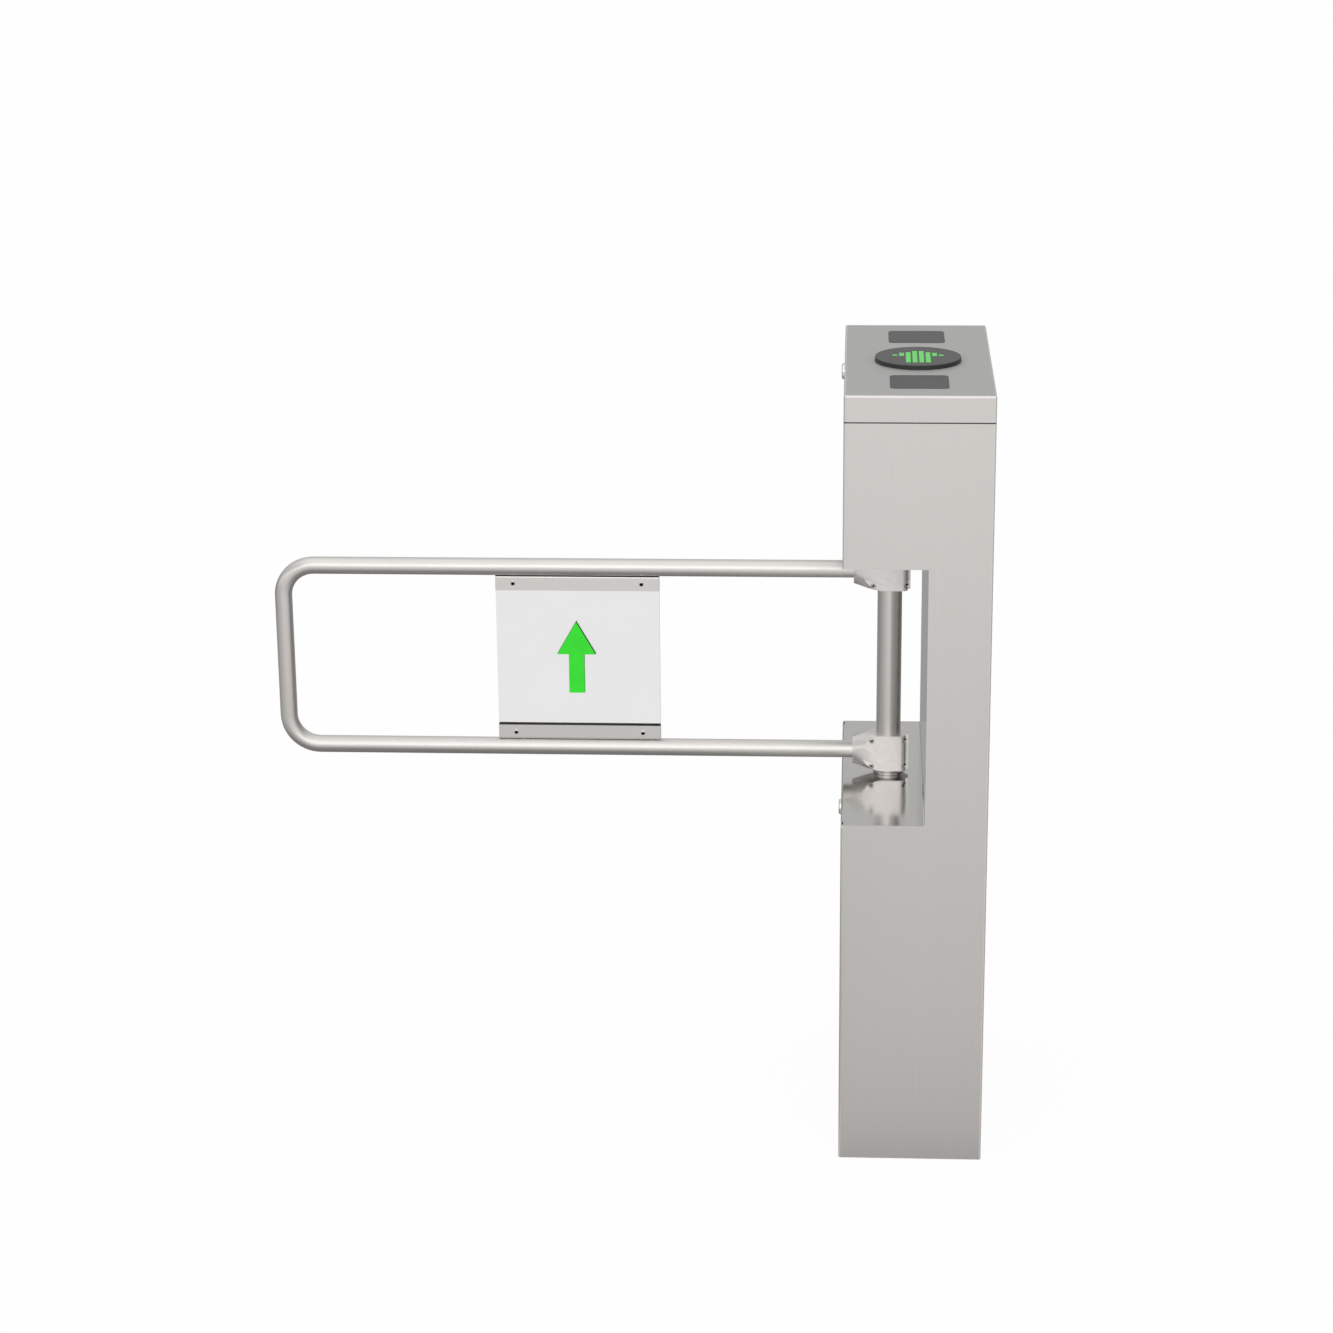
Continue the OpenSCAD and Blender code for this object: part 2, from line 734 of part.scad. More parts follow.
// Swinging shaft with its collar
module arm_shaft() {
    chamfer = 1;
    color([0.76, 0.75, 0.74]) translate([shaft_x, 0, 0]) rotate_extrude() polygon([
        [0, shaft_low], [shaft_r - chamfer, shaft_low], [shaft_r, shaft_low + chamfer],
        [shaft_r, shoulder_z], [journal_r, shoulder_z],
        [journal_r, flag_z + 2 * flag_t], [0, flag_z + 2 * flag_t]]);
}

module thrust_collar() {
    low = lower_bearing_top + collar_play;
    high = low_z - clamp_h / 2;
    lip = 1;
    color([0.72, 0.7, 0.69]) translate([shaft_x, 0, 0]) rotate_extrude() polygon([
        [shaft_r, low], [collar_r, low], [collar_r, high - 3 * lip], [collar_r - lip, high - 2 * lip],
        [collar_r, high - lip], [collar_r, high], [shaft_r, high]]);
}

// One bent tube, from the upper clamp round the end to the lower clamp
tube_start = shaft_x - shaft_r - socket_wall;
tube_end = shaft_x - arm_reach;
module tube_section() {
    difference() {
        circle(tube_r);
        circle(tube_r - tube_wall);
    }
}

module arm_tube() {
    bend_x = tube_end + arm_bend_r;
    straight = tube_start - bend_x;
    color([0.8, 0.79, 0.77]) {
        for (z = [low_z, high_z]) translate([bend_x, 0, z]) rotate([0, 90, 0])
            linear_extrude(straight) tube_section();
        translate([tube_end, 0, low_z + arm_bend_r])
            linear_extrude(arm_gap - 2 * arm_bend_r) tube_section();
        translate([bend_x, 0, high_z - arm_bend_r]) rotate([90, 0, 0])
            rotate_extrude(angle = 90, start = 90) translate([arm_bend_r, 0]) tube_section();
        translate([bend_x, 0, low_z + arm_bend_r]) rotate([90, 0, 0])
            rotate_extrude(angle = 90, start = 180) translate([arm_bend_r, 0]) tube_section();
    }
}

// Split clamp casting, front half: an oval pad over a bolting flange, with a boss round the shaft
// and a socket round the tube. Its own origin is where the shaft's and the tube's axes cross.
module clamp_outline() {
    h = clamp_h / 2;
    tip = clamp_tip_h / 2;
    polygon([[clamp_ear, -h], [clamp_ear, h], [-clamp_shoulder, h], [-clamp_l, tip],
        [-clamp_l, -tip], [-clamp_shoulder, -h]]);
}

module oval(rx, rz, t) {
    rotate([90, 0, 0]) linear_extrude(t)
        polygon([for (k = [0:hull_fn - 1]) [rx * cos(360 * k / hull_fn), rz * sin(360 * k / hull_fn)]]);
}

cap_ratio = 0.9;
module clamp_half() {
    head_r = cap_ratio * screw_d;
    flat_x = sqrt(pow(boss_r, 2) - pow(clamp_face, 2));
    color([0.86, 0.84, 0.82]) difference() {
        intersection() {
            union() {
                rotate([90, 0, 0]) linear_extrude(clamp_flange) clamp_outline();
                hull() {
                    translate([0, -clamp_face + seat_gap, 0]) oval(pad_rx, pad_rz, seat_gap);
                    oval(pad_rx + pad_draft, pad_rz + pad_draft, clamp_flange);
                }
                rod_x(-clamp_l, -boss_r / 2, tube_r + socket_wall);
                translate([0, 0, -clamp_h / 2]) cylinder(r = boss_r, h = clamp_h);
            }
            rotate([90, 0, 0]) translate([0, 0, parting_gap / 2])
                linear_extrude(clamp_face - parting_gap / 2) clamp_outline();
            union() {
                translate([-clamp_l, -clamp_face, -clamp_h])
                    cube([clamp_l + flat_x, clamp_face, 2 * clamp_h]);
                translate([0, 0, -clamp_h]) cylinder(r = boss_r, h = 2 * clamp_h);
                translate([0, -clamp_flange, -clamp_h]) cube([clamp_ear, clamp_flange, 2 * clamp_h]);
            }
        }
        translate([0, 0, -clamp_h]) cylinder(r = shaft_r, h = 2 * clamp_h);
        rod_x(-2 * clamp_l, -shaft_r, tube_r);
        for (x = [-screw_x, screw_x], z = [-screw_z, screw_z]) translate([x, 0, z]) {
            rod_y(-2 * clamp_face, over, screw_d / 2);
            rod_y(-2 * clamp_face, -clamp_flange, head_r + seat_gap);
        }
    }
}

module upper_clamp_front() {
    translate([shaft_x, 0, high_z]) clamp_half();
}

module upper_clamp_rear() {
    translate([shaft_x, 0, high_z]) mirror([0, 1, 0]) clamp_half();
}

module lower_clamp_front() {
    translate([shaft_x, 0, low_z]) clamp_half();
}

module lower_clamp_rear() {
    translate([shaft_x, 0, low_z]) mirror([0, 1, 0]) clamp_half();
}

// Button head screw along +Y from its head at y0 to its end at y1, with a socket
module cap_screw(y0, y1, d, head_t) {
    difference() {
        union() {
            rod_y(y0, y1, d / 2);
            rod_y(y0 - head_t, y0, cap_ratio * d);
        }
        translate([0, y0, 0]) rotate([90, 0, 0]) translate([0, 0, head_t / 2])
            cylinder(d = d, h = head_t, $fn = 6);
    }
}

module clamp_screws() {
    head_t = 3.2;
    color([0.75, 0.75, 0.76]) for (z = [low_z, high_z], x = [-screw_x, screw_x], dz = [-screw_z, screw_z])
        translate([shaft_x + x, 0, z + dz]) cap_screw(-clamp_flange, clamp_flange, screw_d, head_t);
}

// Infill between the tubes
infill_x1 = shaft_x - infill_start;
infill_x0 = infill_x1 - infill_w;
channel_y = infill_t / 2 + channel_gap + channel_wall / 2;
channel_low = low_z + tube_r;
channel_high = high_z - tube_r;

module channel_profile() {
    h = channel_h - channel_wall / 2;
    bent([[-channel_y, h], [-channel_y, 0], [channel_y, 0], [channel_y, h]], channel_wall, channel_wall / 2);
}

module channel_length() {
    translate([infill_x0, 0, channel_wall / 2]) rotate([90, 0, 90]) linear_extrude(infill_w) channel_profile();
}

module at_channel_screws() {
    for (x = [infill_x0 + channel_screw_inset, infill_x1 - channel_screw_inset],
        z = [channel_low + channel_h / 2, channel_high - channel_h / 2])
        translate([x, 0, z]) children();
}

channel_screw_d = 3;
module screw_holes() {
    at_channel_screws() rod_y(-2 * channel_y, 2 * channel_y, channel_screw_d / 2);
}

module lower_channel() {
    color([0.77, 0.75, 0.74]) difference() {
        translate([0, 0, channel_low]) channel_length();
        screw_holes();
    }
}

module upper_channel() {
    color([0.79, 0.77, 0.76]) difference() {
        translate([0, 0, channel_high]) mirror([0, 0, 1]) channel_length();
        screw_holes();
    }
}

module acrylic_panel() {
    color([0.9, 0.9, 0.9, 0.6]) difference() {
        block([infill_x0, -infill_t / 2, channel_low + channel_wall],
            [infill_x1, infill_t / 2, channel_high - channel_wall]);
        screw_holes();
    }
}

module direction_arrow() {
    stem = arrow_stem_w / 2;
    wing = arrow_w / 2;
    neck = arrow_h - arrow_head_h;
    middle = (infill_x0 + infill_x1) / 2 - arrow_shift;
    color([0.25, 0.86, 0.24]) translate([middle, 0, mid_z + arrow_rise - arrow_h / 2])
        along_y(-infill_t / 2 - arrow_t, -infill_t / 2)
            polygon([[-stem, 0], [stem, 0], [stem, neck], [wing, neck], [0, arrow_h],
                [-wing, neck], [-stem, neck]]);
}

module channel_screws() {
    outer = channel_y + channel_wall / 2;
    head_t = 1.6;
    color([0.7, 0.7, 0.7]) at_channel_screws() {
        rod_y(-outer, outer, channel_screw_d / 2);
        for (side = [0, 1]) mirror([0, side, 0]) translate([0, -outer, 0]) rotate([90, 0, 0])
            cylinder(r1 = channel_screw_d, r2 = channel_screw_d / 2, h = head_t);
    }
}

// Hinged lid with its lights and readers
lid_top_low = post_h - lid_sheet;
window_y = (post_d + indicator_d) / 4;
window_half = window_w / 2;

module window_outline(grow) {
    round_rect([-window_half - grow, -window_half - grow], [window_half + grow, window_half + grow],
        window_r + grow);
}

module lid_shell() {
    indicator_r = indicator_d / 2 - indicator_lip;
    color([0.67, 0.67, 0.67]) difference() {
        intersection() {
            translate([0, 0, lid_low]) linear_extrude(lid_h)
                round_rect([left, front], [right, -front], edge_r);
            along_y(front, -front) round_rect([left, lid_low - 2 * edge_r], [right, post_h], lid_edge_r);
            along_x(left, right) round_rect([front, lid_low - 2 * edge_r], [-front, post_h], lid_edge_r);
        }
        translate([0, 0, lid_low - over]) linear_extrude(lid_h - lid_sheet + over)
            round_rect([left + lid_sheet, front + lid_sheet], [right - lid_sheet, -front - lid_sheet],
                edge_r - lid_sheet);
        for (y = [-window_y, window_y]) translate([0, y, lid_top_low - over])
            linear_extrude(lid_sheet + 2 * over) window_outline(seat_gap);
        translate([0, -indicator_y, lid_top_low - over]) cylinder(r = indicator_r, h = lid_sheet + 2 * over);
        translate([0, 0, lid_lock_z]) rod_x(left - over, left + 2 * over, lock_body_d / 2);
        block([right - lid_sheet - over, -lid_hinge_l / 2 - hinge_play, lid_low - over],
            [right + over, lid_hinge_l / 2 + hinge_play, lid_axis[1] + hinge_r + hinge_play]);
    }
}

lens_t = 1.6;
lens_play = 0.5;
lens_low = post_h + indicator_h - lens_t;
indicator_neck_h = 6;
module indicator_bezel() {
    indicator_r = indicator_d / 2;
    neck_r = indicator_r - indicator_lip - seat_gap;
    color([0.16, 0.16, 0.16]) translate([0, -indicator_y, 0]) {
        translate([0, 0, post_h]) cylinder(r = indicator_r, h = indicator_h - lens_t);
        translate([0, 0, post_h - indicator_neck_h]) cylinder(r = neck_r, h = indicator_neck_h);
    }
}

// Light bars: the places, the fronts and the lengths follow the indicator's size
bar_front_share = [0.035, 0.01, -0.66, -0.66, -0.66, -0.66, 0.01, 0.035];
bar_length_share = [0.12, 0.31, 1.05, 1.18, 1.18, 1.05, 0.31, 0.12];
module bar_outlines() {
    r = indicator_d / 2;
    bars = len(bar_front_share);
    for (k = [0:bars - 1]) translate([(k - (bars - 1) / 2) * bar_pitch - bar_w / 2, r * bar_front_share[k]])
        square([bar_w, r * bar_length_share[k]]);
}

module indicator_lens() {
    color([0.41, 0.41, 0.41]) translate([0, -indicator_y, lens_low]) linear_extrude(lens_t) difference() {
        circle(indicator_d / 2 - lens_play);
        bar_outlines();
    }
}

module indicator_bars() {
    color([0.47, 0.82, 0.45]) translate([0, -indicator_y, lens_low])
        linear_extrude(lens_t + seat_gap / 2) bar_outlines();
}

module indicator_board() {
    board_t = 1.6;
    r = indicator_d / 2 - 3 / 2 * indicator_lip;
    plug = [20, 8, 9];
    color([0.1, 0.35, 0.15]) translate([0, -indicator_y, post_h - indicator_neck_h - board_t]) {
        cylinder(r = r, h = board_t);
        translate([-plug[0] / 2, -plug[1] / 2, -plug[2]]) cube(plug);
    }
}

window_t = 2;
window_proud = 0.3;
module reader_window() {
    color([0.41, 0.41, 0.41]) translate([0, 0, post_h + window_proud - window_t])
        linear_extrude(window_t) window_outline(0);
}

module reader_window_front() {
    translate([0, -window_y, 0]) reader_window();
}

module reader_window_rear() {
    translate([0, window_y, 0]) reader_window();
}

module reader_modules() {
    margin = 5;
    depth = 14;
    seat = post_h + window_proud - window_t;
    color([0.15, 0.15, 0.16]) for (y = [-window_y, window_y]) translate([0, y, 0]) difference() {
        translate([0, 0, lid_top_low - depth]) linear_extrude(depth) window_outline(margin);
        translate([0, 0, seat]) linear_extrude(depth) window_outline(seat_gap);
        translate([0, 0, lid_top_low - depth - over]) linear_extrude(depth / 2) window_outline(-margin);
    }
}

// Cam lock, with its own origin on the panel's outer face and its axis along X
module lock_housing() {
    bore = plug_d / 2 + running_fit;
    dome = 2.5;
    steps = 6;
    r = lock_head_d / 2 - dome;
    color([0.75, 0.74, 0.73]) difference() {
        union() {
            rotate([0, 90, 0]) rotate_extrude() polygon(concat([[0, 0], [lock_head_d / 2, 0]],
                [for (k = [0:steps])
                    [r, dome - lock_head_t] + dome * [cos(k * 90 / steps), -sin(k * 90 / steps)]],
                [[0, -lock_head_t]]));
            rod_x(0, lock_depth, lock_body_d / 2);
            translate([sheet, 0, 0]) rotate([0, 90, 0])
                cylinder(d = lock_nut_w / cos(30), h = lock_nut_t, $fn = 6);
        }
        rod_x(-lock_head_t - over, lock_depth + over, bore);
    }
}

module lock_plug(turn) {
    back = cam_x - left;
    inset = 0.4;
    color([0.62, 0.61, 0.6]) {
        difference() {
            rod_x(-lock_head_t + inset, back, plug_d / 2);
            translate([-lock_head_t, -keyway[0] / 2, -keyway[1] / 2]) cube([keyway[2], keyway[0], keyway[1]]);
        }
        rod_x(back, back + cam_t, cam_w / 2);
        translate([back, 0, -cam_w / 2]) cube([cam_t, cam_reach, cam_w]);
        translate([back, cam_reach - cam_hook, turn > 0 ? 0 : -cam_w / 2 - cam_hook_l])
            cube([cam_t, cam_hook, cam_w / 2 + cam_hook_l]);
        rod_x(back + cam_t, back + 2 * cam_t, cam_w / 3);
    }
}

module lid_lock_housing() {
    translate([left, 0, lid_lock_z]) lock_housing();
}

module lid_lock_plug() {
    translate([left, 0, lid_lock_z]) lock_plug(-1);
}

module door_lock_housing() {
    translate([left, 0, door_lock_z]) lock_housing();
}

module door_lock_plug() {
    translate([left, 0, door_lock_z]) lock_plug(1);
}

// Service door in the left face: a pan with folded edges and a stiffening hat
module service_door() {
    hat_w = 24;
    hat_h = 8;
    brim = 8;
    hat_y = panel_y / 2;
    x = left + sheet * 3 / 2;
    color([0.78, 0.76, 0.74]) {
        difference() {
            block([left, -panel_y, door_low], [left + door_depth, panel_y, door_top]);
            block([left + sheet, -panel_y + sheet, door_low - over],
                [left + door_depth + over, panel_y - sheet, door_top - sheet]);
            translate([0, 0, door_lock_z]) rod_x(left - over, left + 2 * over, lock_body_d / 2);
        }
        for (y = [-hat_y, hat_y]) translate([0, y, door_low + leaf_l + panel_gap])
            linear_extrude(door_top - door_low - leaf_l - 2 * (sheet + panel_gap))
                bent([[x, -hat_w / 2 - brim], [x, -hat_w / 2], [x + hat_h, -hat_w / 2],
                    [x + hat_h, hat_w / 2], [x, hat_w / 2], [x, hat_w / 2 + brim]], sheet, sheet / 2);
    }
}

// Control gear in the lower body
module equipment_plate() {
    wall_x = right - sheet - sheet / 2;
    x = equipment_x + sheet / 2;
    y = equipment_w / 2;
    foot = 15;
    color([0.7, 0.7, 0.68]) translate([0, 0, equipment_z]) linear_extrude(equipment_h)
        bent([[wall_x, -y - foot], [wall_x, -y], [x, -y], [x, y], [wall_x, y], [wall_x, y + foot]],
            sheet, sheet);
}

board = [1.6, 120, 160];
board_y = -125;
board_z = equipment_z + board_rise;
module at_board_corners() {
    inset = 6;
    for (y = [inset, board[1] - inset], z = [inset, board[2] - inset])
        translate([0, board_y + y, board_z + z]) children();
}

module board_spacers() {
    color([0.8, 0.7, 0.4]) at_board_corners()
        rod_x(equipment_x - spacer_h, equipment_x, spacer_r);
}

module control_board() {
    x = equipment_x - spacer_h - board[0];
    plug = [12, 10, 14];
    plug_at = [10, 4];
    plug_pitch = 15;
    relay = [15, 18, 20];
    relay_at = [12, 35];
    relay_pitch = 24;
    can_r = 7;
    can_h = 22;
    can_at = [22, 85];
    can_pitch = 20;
    sink = [20, 40, 12];
    sink_at = [65, 70];
    color([0.08, 0.35, 0.18]) translate([0, board_y, board_z]) difference() {
        union() {
            translate([x, 0, 0]) cube(board);
            for (k = [0:6]) translate([x - plug[0], plug_at[0] + k * plug_pitch, plug_at[1]]) cube(plug);
            for (k = [0:2]) translate([x - relay[0], relay_at[0] + k * relay_pitch, relay_at[1]]) cube(relay);
            for (k = [0, 1]) translate([0, can_at[0] + k * can_pitch, can_at[1]])
                rod_x(x - can_h, x, can_r);
            for (k = [0:3]) translate([x - sink[0], sink_at[0], sink_at[1] + k * sink[2]])
                cube([sink[0], sink[1], sink[2] / 3]);
        }
        translate([0, -board_y, -board_z]) at_board_corners()
            rod_x(x - over, equipment_x - spacer_h + over, spacer_bore_r);
    }
}

supply = [30, 98, 130];
supply_y = 25;
supply_z = equipment_z + board_rise;
module power_supply() {
    slots = 9;
    x = equipment_x - supply[0];
    slot = [3, 60, 5];
    slot_pitch = 12;
    step_h = 14;
    color([0.75, 0.76, 0.77]) difference() {
        translate([x, supply_y, supply_z]) cube(supply);
        for (k = [0:slots - 1])
            translate([x - slot[0] / 3, supply_y + (supply[1] - slot[1]) / 2, supply_z + (k + 1) * slot_pitch])
                cube(slot);
        translate([x - over, supply_y - over, supply_z + supply[2] - step_h])
            cube([supply[0] / 2 + over, supply[1] + 2 * over, step_h + over]);
    }
}

rail_w = 35;
rail_h = 7.5;
rail_z = equipment_z + rail_rise;
rail_y = 120;
module terminal_rail() {
    brim = 5;
    t = 1;
    x = equipment_x - t / 2;
    lip = x - rail_h + t;
    color([0.8, 0.8, 0.78]) along_rail()
        bent([[lip, -rail_w / 2], [lip, brim - rail_w / 2], [x, brim - rail_w / 2],
            [x, rail_w / 2 - brim], [lip, rail_w / 2 - brim], [lip, rail_w / 2]], t, t / 2);
}

// Outline in X and Z about the rail's axis, extruded along the rail
module along_rail() {
    translate([0, rail_y, rail_z]) rotate([90, 0, 0]) linear_extrude(2 * rail_y) children();
}

module terminal_blocks() {
    count = 14;
    pitch = 10;
    size = [36, 9.4, 44];
    tip = 10;
    color([0.55, 0.56, 0.57]) for (k = [0:count - 1])
        translate([equipment_x - rail_h, -count * pitch / 2 + k * pitch, rail_z]) difference() {
            translate([0, size[1], 0]) rotate([90, 0, 0]) linear_extrude(size[1]) polygon([
                [0, -size[2] / 2], [0, size[2] / 2], [-size[0] / 2, size[2] / 2],
                [-size[0], tip], [-size[0], -tip], [-size[0] / 2, -size[2] / 2]]);
            for (z = [-1, 1]) translate([0, size[1] / 2, z * size[2] / 3])
                rod_x(-size[0], -size[0] / 3, size[1] / 4);
        }
}

outer_wrap();
notch_liner();
head_side_panel();
rim_frame();
base_plate();
door_sill();
lid_hinge_leaf();
door_hinge_leaf();
hinge_pins();
lock_strikes();
lower_bearing_housing();
lower_bearing();
upper_bearing_housing();
upper_bearing();
top_bearing();
drive_base_plate();
drive_top_plate();
drive_pillars();
gearbox();
motor();
motor_brake();
limit_sensors();
frame_bolts();
equipment_plate();
control_board();
board_spacers();
power_supply();
terminal_rail();
terminal_blocks();
arm_shaft();
thrust_collar();
arm_tube();
upper_clamp_front();
upper_clamp_rear();
lower_clamp_front();
lower_clamp_rear();
clamp_screws();
upper_channel();
lower_channel();
acrylic_panel();
direction_arrow();
channel_screws();
drive_gear();
limit_flag();
drive_pinion();
lid_shell();
lid_hinge_wing();
indicator_bezel();
indicator_lens();
indicator_bars();
indicator_board();
reader_window_front();
reader_window_rear();
reader_modules();
lid_lock_housing();
lid_lock_plug();
service_door();
door_hinge_wing();
door_lock_housing();
door_lock_plug();
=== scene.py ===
"""Looks of the swing barrier gate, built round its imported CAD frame. Metres, Z up."""
import json
import math

import bmesh
import bpy
from mathutils import Matrix, Vector


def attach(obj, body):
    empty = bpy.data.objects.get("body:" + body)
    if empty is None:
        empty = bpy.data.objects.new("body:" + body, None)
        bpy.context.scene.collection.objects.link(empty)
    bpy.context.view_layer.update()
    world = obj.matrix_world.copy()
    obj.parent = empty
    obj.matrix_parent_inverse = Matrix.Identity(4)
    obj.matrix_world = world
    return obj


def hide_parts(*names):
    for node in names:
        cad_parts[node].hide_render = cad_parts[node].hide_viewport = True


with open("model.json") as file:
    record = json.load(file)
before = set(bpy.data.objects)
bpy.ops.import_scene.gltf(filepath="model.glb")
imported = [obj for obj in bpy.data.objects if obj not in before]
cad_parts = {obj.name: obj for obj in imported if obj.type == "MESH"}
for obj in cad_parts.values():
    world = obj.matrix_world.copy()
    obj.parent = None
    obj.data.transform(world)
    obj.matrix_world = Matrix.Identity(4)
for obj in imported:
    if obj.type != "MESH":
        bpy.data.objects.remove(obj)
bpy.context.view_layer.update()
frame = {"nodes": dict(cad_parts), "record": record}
nodes = frame["nodes"]
scene = bpy.context.scene
MM = 0.001


# ---------------------------------------------------------------- node helpers
class Graph:
    """A node tree, with short calls for the nodes that the finishes and the studio share."""

    MIX_FACTOR, MIX_A, MIX_B, MIX_COLOR = 0, 6, 7, 2

    def __init__(self, tree):
        self.tree = tree

    def plug(self, value, socket):
        """Link a socket, or set a constant."""
        if isinstance(value, bpy.types.NodeSocket):
            self.tree.links.new(value, socket)
        else:
            socket.default_value = value

    def new(self, kind, inputs=None, **props):
        """A shader node with its properties set and its inputs linked or set."""
        node = self.tree.nodes.new("ShaderNode" + kind)
        for key, value in props.items():
            setattr(node, key, value)
        for key, value in (inputs or {}).items():
            self.plug(value, node.inputs[key])
        return node

    def math(self, kind, a, b=0.0):
        return self.new("Math", {0: a, 1: b}, operation=kind).outputs[0]

    def total(self, a, share_a, b, share_b):
        """Weighted sum of two values."""
        return self.math("ADD", self.math("MULTIPLY", a, share_a),
                         self.math("MULTIPLY", b, share_b))

    def mix(self, factor, a, b, blend="MIX"):
        inputs = {self.MIX_FACTOR: factor, self.MIX_A: a, self.MIX_B: b}
        node = self.new("Mix", inputs, data_type="RGBA", blend_type=blend)
        return node.outputs[self.MIX_COLOR]

    def times(self, a, b):
        """Product of two colours."""
        return self.mix(1.0, a, b, "MULTIPLY")

    def remap(self, value, low, high, to_low, to_high):
        inputs = {"Value": value, "From Min": low, "From Max": high,
                  "To Min": to_low, "To Max": to_high}
        return self.new("MapRange", inputs, clamp=True).outputs["Result"]

    def ramp(self, value, low, high, stops):
        """Brightness along a value, from stops of (place, grey or colour)."""
        node = self.new("ValToRGB", {"Fac": self.remap(value, low, high, 0.0, 1.0)})
        points = node.color_ramp.elements
        while len(points) < len(stops):
            points.new(0.5)
        for point, (place, tone) in zip(points, stops):
            point.position = (place - low) / (high - low)
            point.color = (*tone, 1) if hasattr(tone, "__len__") else (tone, tone, tone, 1)
        return node.outputs["Color"]

    def seen(self):
        """One where the camera looks, straight or through the clear sheet, else zero."""
        path = self.new("LightPath").outputs
        return self.math("MAXIMUM", path["Is Camera Ray"], path["Is Transmission Ray"])


class Finish(Graph):
    """A material whose Principled shader is fed by noise in the object's own coordinates."""

    def __init__(self, name):
        self.mat = bpy.data.materials.new(name)
        self.mat.use_nodes = True
        super().__init__(self.mat.node_tree)
        self.coord = self.new("TexCoord").outputs["Object"]

    def set(self, **values):
        """Feed the shader's sockets, and give the finished material."""
        shader = self.tree.nodes["Principled BSDF"]
        for key, value in values.items():
            self.plug(value, shader.inputs[key.replace("_", " ")])
        return self.mat

    def scaled(self, scale):
        """The object's coordinates times a number or a vector."""
        scale = scale if hasattr(scale, "__len__") else (scale,) * 3
        return self.new("Mapping", {"Vector": self.coord, "Scale": scale}).outputs["Vector"]

    def noise(self, scale, detail=2.0, rough=0.5):
        """Noise with one cell about 1 / scale metres."""
        inputs = {"Vector": self.scaled(scale), "Scale": 1.0, "Detail": detail,
                  "Roughness": rough}
        return self.new("TexNoise", inputs).outputs["Fac"]

    def cells(self, scale, randomness=1.0):
        """Distance to the nearest of scattered points, about 1 / scale metres apart."""
        inputs = {"Vector": self.scaled(scale), "Scale": 1.0, "Randomness": randomness}
        return self.new("TexVoronoi", inputs).outputs["Distance"]

    def stretch(self, value, low, high):
        """Noise bunches round one half, so its middle is stretched over a range."""
        return self.remap(value, 0.3, 0.7, low, high)

    def mottle(self, value, color, dark, light):
        """A colour that drifts between two shares of its brightness."""
        return self.mix(self.stretch(value, 0.0, 1.0), scaled_rgb(color, dark),
                        scaled_rgb(color, light))

    def even_metal(self, grain, color, cloud_scale):
        """A sheet's colour: it hardly varies with the grain, under faint darker clouds."""
        cloud = self.remap(self.noise(cloud_scale, 3.0), 0.35, 0.65, 0.0, 0.3)
        return self.mix(cloud, self.mottle(grain, color, 0.985, 1.015),
                        scaled_rgb(color, 0.985))

    def bump(self, height, strength, distance):
        inputs = {"Height": height, "Strength": strength, "Distance": distance}
        return self.new("Bump", inputs).outputs["Normal"]


def rgb(color):
    return (*color, 1.0)


def scaled_rgb(color, share):
    return rgb([min(1.0, part * share) for part in color])


# ---------------------------------------------------------------- finishes
BLACK = (0.012, 0.012, 0.012)


def brushed(name, color, rough, along, grain=1500.0, depth=0.035, spread=0.025):
    """Brushed or ground steel: fine scratches, long in the axis whose share is small."""
    g = Finish(name)
    fine = g.noise([grain * share for share in along], 3.0, 0.65)
    coarse = g.noise([grain / 6 * share for share in along], 2.0)
    tone = g.total(fine, 0.55, coarse, 0.45)
    rub = g.total(fine, 0.5, g.noise(32.0, 4.0, 0.6), 0.5)
    return g.set(Base_Color=g.even_metal(tone, color, 5.0), Metallic=1.0,
                 Roughness=g.stretch(rub, rough - spread, rough + spread),
                 Normal=g.bump(tone, depth, 0.0002))


def satin(name, color, rough, metallic):
    """Bead blasted sheet: half matte, with a very fine even grain."""
    g = Finish(name)
    grit = g.noise(2400.0, 2.0, 0.6)
    return g.set(Base_Color=g.even_metal(grit, color, 6.0), Metallic=metallic,
                 Roughness=g.stretch(grit, rough - 0.03, rough + 0.03),
                 Normal=g.bump(grit, 0.04, 0.0002))


def cast(name, color, rough, metallic, scale=1400.0, depth=0.05):
    """As-cast or painted casting: an even fine grain, shallow waves and small pits."""
    g = Finish(name)
    grit = g.noise(scale, 2.0, 0.6)
    wave = g.noise(scale / 12, 3.0)
    pits = g.math("MULTIPLY", g.cells(scale * 0.7), 0.12)
    height = g.math("SUBTRACT", g.total(grit, 0.6, wave, 0.8), pits)
    return g.set(Base_Color=g.mottle(wave, color, 0.95, 1.04), Metallic=metallic,
                 Roughness=g.stretch(grit, rough - 0.05, rough + 0.06),
                 Normal=g.bump(height, depth, 0.00025))


def plated(name, color, rough):
    """Polished or plated metal with fine handling marks."""
    g = Finish(name)
    marks = g.noise((1800, 1800, 260), 3.0, 0.7)
    haze = g.noise(90.0, 3.0)
    return g.set(Base_Color=g.mottle(haze, color, 0.94, 1.04), Metallic=1.0,
                 Roughness=g.stretch(haze, rough - 0.04, rough + 0.07),
                 Normal=g.bump(marks, 0.06, 0.0001))


def moulded(name, color, rough, specular=0.5):
    """Moulded plastic or rubber with an eroded texture and faint colour drift."""
    g = Finish(name)
    skin = g.noise(2600.0, 2.0, 0.7)
    return g.set(Base_Color=g.mottle(g.noise(24.0, 3.0), color, 0.9, 1.08),
                 Roughness=g.stretch(skin, rough - 0.06, rough + 0.08),
                 Normal=g.bump(skin, 0.2, 0.0001), Specular_IOR_Level=specular)


